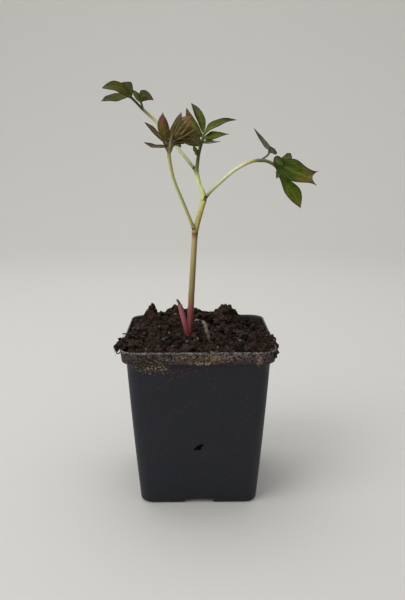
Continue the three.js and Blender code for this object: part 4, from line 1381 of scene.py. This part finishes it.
def right_leaf() -> DividedLeaf:
    """Describes the leaf on the arched stalk, which hangs its largest leaflets outwards."""
    return DividedLeaf(
        "leaf_right",
        (
            Leaflet(
                (52.4, -2, 257.5), (41.4, 10, 271.5), 3.6, (-0.85, -0.4, -0.5), -2, 4, 20, 0.5, 0.93,
                BladeColour.GREY_BROWN, wave=0.1,
            ),
            Leaflet(
                (52, -2, 258.4), (58.2, 12, 252.9), 2.5, (-0.3, -0.2, 1), -0.4, 0.7, 20, 0.76, 0.52,
                BladeColour.GREY_BROWN,
            ),
            Leaflet(
                (55.7, -14, 247.6), (82.8, -23, 235.9), 9.4, (0.1, -0.8, 0.6), 1.9, -3.7, 7, 0.76, 1.18,
                BladeColour.AMBER_TIPPED, end=6.5, notch=3.5, pleat=0.12, rims=(0.8, 0.95), blotches=(
                    Blotch("#263608", 0.42, -0.6, 0.17, 0.8), Blotch("#62541E", 0.78, -0.5, 0.2), Blotch("#3A3C22", 0.75, 1.0, 0.22, 0.8),
                    Blotch("#241A1C", 1.0, 1.0, 0.15), Blotch("#241A1C", 1.0, -1.0, 0.12),
                ),
            ),
            Leaflet(
                (54.8, -14.3, 240.7), (71.7, -24, 215.8), 5.9, (0.2, -0.9, 0.4), -2.5, 3, 14, 1.85, 1.29,
                BladeColour.DEEP, blotches=(Blotch("#3A4414", 0.3, 1.0, 0.3, 0.5), Blotch("#6A4A22", 0.9, -0.4, 0.1, 0.7), Blotch("#221A14", 1.0, 0.0, 0.1)),
            ),
            Leaflet(
                (57, -14, 243.8), (65.1, -6, 253.5), 5, (-0.2, -0.5, 0.8), -1.2, -1.3, 12, 0.5, 0.83,
                BladeColour.BRIGHT, end=1.3, blotches=(Blotch("#2A2418", 1.0, 0.0, 0.14),),
            ),
            Leaflet(
                (58.6, -14.8, 241.4), (54.6, -17, 251.4), 3.7, (-0.2, -0.95, 0.2), 1.2, 0, 30, 0.6, 0.5,
                BladeColour.GREY_GREEN, blotches=(
                    # The two pale blotches paint highlights; the two dark ones are the blade's mottling.
                    Blotch("#7A8660", 0.25, -0.3, 0.14), Blotch("#76805C", 0.72, 0.3, 0.14),
                    Blotch("#2E361E", 0.5, 0.7, 0.12), Blotch("#343A22", 0.85, -0.6, 0.1),
                ),
            ),
            Leaflet(
                (56.9, -14, 241.9), (55.8, -12, 236.1), 1.7, (0.2, -0.8, 0.2), 2.9, -0.5, 12, 0.5, 1.15,
                BladeColour.MURKY,
            ),
        ),
        (
            (
                Station((43.4, -8.8, 248.2), 0.95, "#6E6640", "#3A3426"), Station((45.2, -7.5, 248.8), 0.75, "#5C5434", "#3A3426"),
                Station((46.8, -6.5, 249.8), 0.7, "#5C5434", "#3A3426"), Station((48.5, -5.5, 250.9), 0.7, "#5C5434", "#3A3426"),
                Station((50.1, -4, 252), 0.7, "#564E30", "#342E22"), Station((51.3, -2.6, 253.6), 0.75, "#4E4830", "#342E22"),
                Station((51.3, -2, 255.2), 0.75, "#4A4432", "#302A20"), Station((52, -2, 257.4), 0.6, "#463F30", "#302A20"),
            ),
            (
                Station((43.2, -9, 248.5), 1.25, "#6C6838", "#464424"), Station(FORK_RIGHT, 1.3, "#626036", "#403E22"),
                Station((48.5, -11.5, 248), 1.2, "#56542E", "#3A3620"), Station((53.6, -13.8, 245.6), 1.2, "#5E5638", "#3A3426"),
                Station((56.2, -14, 242.6), 0.9, "#4E4A30", "#322E22"),
            ),
            (
                Station((53.6, -13.8, 245.6), 1.1, "#5E5638", "#3A3426"), Station((55, -14, 246.8), 0.9, "#565A30", "#363A1E"),
                Station((57, -14.4, 247.6), 0.6, "#4C5A24"),
            ),
        ),
    )


def back_leaf() -> DividedLeaf:
    """Describes the leaf on the long stalk to the upper left."""
    dark = "#3A3C1A"
    return DividedLeaf(
        "leaf_back",
        (
            Leaflet(
                (-48.8, 16, 293.3), (-68, 4, 298.8), 5.4, (0, -0.8, 0.6), 3.5, -2.5, 4, 0.67, 0.92,
                BladeColour.LEAF_GREEN, blotches=(Blotch("#2A3008", 0.15, 0.0, 0.25, 0.8),),
            ),
            Leaflet(
                (-49.6, 16, 295), (-68, -2, 289.3), 4.7, (0, -0.7, 0.7), -1.9, -3.3, 8, 0.94, 1.4,
                BladeColour.SAGE,
            ),
            Leaflet(
                (-49.1, 16, 293.2), (-53, 29, 306), 4.5, (0, -0.6, 0.6), 2.3, 1.1, 8, 0.61, 0.5,
                BladeColour.OLIVE,
            ),
            Leaflet(
                (-42.5, 27, 291.1), (-32.6, 21, 292.4), 4.1, (0, 1, 0.2), -2.7, -4.7, 10, 0.9, 0.91,
                BladeColour.BROWN_OLIVE, pleat=0.1,
            ),
            Leaflet(
                (-42.7, 27, 291), (-48.9, 34, 300.9), 2.3, (0, -0.6, 0.6), 1.3, 0.2, 14, 0.93, 1.27,
                BladeColour.FADED,
            ),
        ),
        (
            (
                Station((-40, 19.6, 285), 1.0, "#5A6030", dark), Station(FORK_BACK, 1.1, "#4A5028", dark),
                Station((-44.6, 18, 289.6), 0.95, "#42461E", dark), Station(BACK_OUTER, 1.0, "#3E4A1A", dark),
                Station((-49.4, 16, 294.6), 0.8, "#3E4A1A", dark),
            ),
            (
                Station(FORK_BACK, 1.05, "#4A5028", dark), Station((-41.2, 23.4, 288), 0.8, "#3E401E", dark),
                Station(BACK_INNER, 0.8, "#3A3C1C", dark),
            ),
        ),
    )


def centre_leaf() -> DividedLeaf:
    """Describes the top leaf, in the line of the stem."""
    dark = "#2C3014"
    return DividedLeaf(
        "leaf_centre",
        (
            Leaflet(
                (4.1, 4, 266.7), (-4.5, 12, 289.1), 3.3, (0.25, -1, 0.2), 0.3, -2.2, 14, 1.04, 0.93,
                BladeColour.FRESH, blotches=(Blotch("#2C2A14", 0.6, 1.0, 0.3, 0.8),),
            ),
            Leaflet(
                (4.7, 4, 266.5), (27.4, 0, 276.8), 4.4, (0, -0.6, 0.8), 5.6, -3.3, 20, 0.5, 0.82,
                BladeColour.MOSS,
            ),
            Leaflet(
                (4.3, 3, 264.4), (21.5, -12, 266.5), 3.7, (0, -0.85, 0.5), 1, -0.7, 16, 0.84, 1.36,
                BladeColour.MEADOW,
            ),
            Leaflet((2.8, 2.2, 261), (15.5, -14, 261.4), 4.4, (0, -0.5, 0.9), -0.6, 0, 16, 0.5, 1.6, BladeColour.SEA_GREEN),
            Leaflet(
                (4, 5, 264.6), (-8, -2, 284.8), 3.3, (0.1, 1, 0), -0.4, -1.9, 12, 0.92, 1.02,
                BladeColour.RUST, blotches=(
                    Blotch("#5C5A1E", 0.5, 0.8, 0.3), Blotch("#7E4E44", 0.75, -0.2, 0.2, 0.6),
                    Blotch("#4A2A30", 1.0, 0.0, 0.1),
                ),
            ),
            Leaflet((2, 2, 259), (-16, 0, 262), 5.6, (0, 1, 0.4), 0, 3.8, 16, 0.7, 1, BladeColour.UMBER, rims=(0.5, 0.7)),
            Leaflet((-0.4, 0.8, 251.4), (-3.2, -3, 258.5), 1.9, (0.6, 1, 0.3), -1.1, 1.3, 10, 0.94, 0.64, BladeColour.SHADED),
        ),
        (
            (
                Station((0.2, 0.9, 250.2), 1.2, "#5A6430", "#3A4220"), Station((1.2, 1.5, 255), 1.15, "#4A5028", dark),
                Station((2, 2, 258.5), 1.2, "#4A5028", dark), Station((3.4, 3.2, 262.6), 1.1, "#5E6C30", dark),
                Station((4.2, 4, 266.8), 0.9, "#788A40", "#46521C"), Station((4.6, 4.2, 268.6), 0.5, "#8A9A4C"),
            ),
            (
                Station((2.6, 2.6, 260.5), 0.9, "#8E9058", dark), Station((0.6, 1.0, 263.0), 0.6, "#8E9058", dark),
                Station((-0.6, 0.4, 265.4), 0.4, "#5E5A34"),
            ),
        ),
    )


@dataclass
class OldStub:
    """The dry stub of an old shoot, split at its top."""

    def build(self, dry: bpy.types.Material) -> None:
        """Makes the stub.

        Args:
            dry: its material.
        """
        bm = bmesh.new()
        rings: list[Ring] = []
        rings += sweep(bm, [
            Station((11.0, -21.8, 113.5), 1.4, "#2E2620"), Station((8.3, -20, 119.3), 1.2, "#4E4438", "#352E27"),
            Station((7.7, -18.8, 121), 1.5, "#564C40", "#38322A"), Station((7, -17, 122.8), 1.15, "#4A4238", "#38322A"),
            Station((6.4, -15.3, 124.2), 1.5, "#6E6456", "#423C31"), Station((6.1, -13.8, 125.7), 1.3, "#62594A", "#423C31"),
            Station((5.6, -12.2, 127.2), 1.5, "#746A5C", "#484236"), Station((4.9, -10.6, 128.8), 1.1, "#6C6254", "#4C463A"),
            Station((3.9, -9, 129.7), 1.1, "#8C8072", "#544E46"), Station((3.2, -8, 130.6), 0.6, "#7C7062", "#544E46"),
        ], 16, 5)
        rings += sweep(bm, [
            Station((6.2, -13, 126.3), 0.8, "#5C5446", "#484236"), Station((6.9, -11.6, 127.5), 0.65, "#544C3E", "#3E392F"),
            Station((7.1, -11, 128.5), 0.35, "#4C443A"),
        ], 10, 5)
        rings += sweep(bm, [
            Station((3.5, -8.6, 130.1), 0.7, "#6C6254"), Station((1.7, -8, 131), 0.45, "#3A3222"),
            Station((0.2, -7.4, 131), 0.6, "#6E6454"), Station((-1.2, -6.9, 131), 0.75, "#8C8070", "#5E5648"),
            Station((-2.7, -6.4, 129.9), 0.45, "#786C5A"),
        ], 10, 5)
        rings += sweep(bm, [
            Station((0.2, -7.4, 130.8), 0.5, "#6E6454"), Station((0.4, -7.8, 128.5), 0.35, "#7A7068"),
        ], 10, 5)
        bm.verts.layers.float_color.remove(bm.verts.layers.float_color["tint"])
        make_piece(fuse(bm, rings, 0.2, 2), "old_stub_dry", dry, ["old_stub"])


@dataclass
class Studio:
    """The plain pale floor and wall, the soft lights and the camera."""

    camera_place: Point = (-3.0, -460.0, 246.0)
    pitch_down: float = 12.4
    turn_right: float = 0.8
    lens: float = 37.14
    floor_radius: float = 1300.0
    bend_radius: float = 900.0
    wall_height: float = 1500.0
    background: str = "#D3D6D6"

    def build_floor(self) -> None:
        """Spins a floor that bends up into a round wall, the same from every side."""
        bm = bmesh.new()
        quarter = [math.pi / 2 * step / 12 for step in range(1, 13)]
        outline = [(0.0, 0.0), (self.floor_radius, 0.0)]
        outline += [(self.floor_radius + self.bend_radius * math.sin(a), self.bend_radius * (1 - math.cos(a))) for a in quarter]
        outline.append((self.floor_radius + self.bend_radius, self.wall_height))
        verts = [bm.verts.new(mm((radius, 0, height))) for radius, height in outline]
        edges = [bm.edges.new(pair) for pair in zip(verts, verts[1:])]
        bmesh.ops.spin(
            bm, geom=verts + edges, cent=(0, 0, 0), axis=UP, dvec=(0, 0, 0), angle=2 * math.pi, steps=64,
            use_merge=True, use_duplicate=False,
        )
        bmesh.ops.remove_doubles(bm, verts=bm.verts, dist=1e-5)
        bmesh.ops.recalc_face_normals(bm, faces=bm.faces)
        mesh = bpy.data.meshes.new("studio_floor")
        bm.to_mesh(mesh)
        bm.free()
        mesh.materials.append(MattPaint("matt_wall_paint").build())
        mesh.shade_smooth()
        floor = bpy.data.objects.new("studio_floor", mesh)
        bpy.context.scene.collection.objects.link(floor)

    def add_light(self, name: str, place: Point, aim: Point, size: float, power: float) -> None:
        """Adds a square, white, soft light.

        Args:
            name: the light's name.
            place: where it stands, in millimetres.
            aim: the place that it faces, in millimetres.
            size: the length of its side, in millimetres.
            power: its power in watts.
        """
        light = bpy.data.lights.new(name, "AREA")
        light.shape = "SQUARE"
        light.size = size * MM
        light.energy = power
        lamp = bpy.data.objects.new(name, light)
        lamp.location = mm(place)
        lamp.rotation_euler = (mm(aim) - mm(place)).to_track_quat("-Z", "Y").to_euler()
        bpy.context.scene.collection.objects.link(lamp)

    def build_camera(self) -> None:
        """Sets the camera at the photograph's angle."""
        data = bpy.data.cameras.new("camera")
        data.lens = self.lens
        data.sensor_width = 36.0
        data.clip_start = 0.01
        camera = bpy.data.objects.new("camera", data)
        camera.location = mm(self.camera_place)
        camera.rotation_euler = (math.radians(90 - self.pitch_down), 0.0, math.radians(-self.turn_right))
        bpy.context.scene.collection.objects.link(camera)
        bpy.context.scene.camera = camera

    def build(self) -> None:
        """Sets up the whole studio."""
        self.build_camera()
        self.build_floor()
        plant = (0, 0, 160)
        self.add_light("window_light", (-850, -650, 1050), plant, 900, 8.0)
        self.add_light("top_light", (-200, 300, 1500), plant, 1100, 6.0)
        self.add_light("wall_light", (-100, 900, 1500), (0, 2200, 500), 900, 4.5)
        world = bpy.data.worlds.new("studio_air")
        world.use_nodes = True
        sky = world.node_tree.nodes["Background"]
        sky.inputs["Color"].default_value = to_linear(self.background)
        sky.inputs["Strength"].default_value = 1.0
        bpy.context.scene.world = world
        bpy.context.scene.view_settings.view_transform = "Standard"


def main() -> None:
    """Builds the studio, the pot, the peat and the plant in order."""
    logging.basicConfig(level=logging.INFO, format="%(name)s: %(message)s")
    Studio().build()
    loose = TintedSkin("loose_peat", mottle=0.3, grain=0.6, roughness=0.95, specular=0.2).build()
    NurseryPot().build(BlackPolypropylene("black_polypropylene").build(), loose)
    PeatFilling().build(Peat("damp_peat").build(), loose)
    OldStub().build(TintedSkin("weathered_stalk", mottle=0.5, grain=1.2, stretch=2.0, roughness=0.9, relief=0.4).build())
    skin = StemSkin("waxy_stem_skin").build()
    blade = LeafBlade("young_leaf_blade").build()
    PeonyStem().build(skin)
    for leaf in (left_leaf(), right_leaf(), back_leaf(), centre_leaf()):
        leaf.build(blade, skin)
    root_skin = TintedSkin("corky_root_skin", mottle=0.2, grain=2.0).build()
    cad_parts["root_crown"].data.materials.clear()
    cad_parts["root_crown"].data.materials.append(root_skin)


if __name__ == "__main__":
    main()
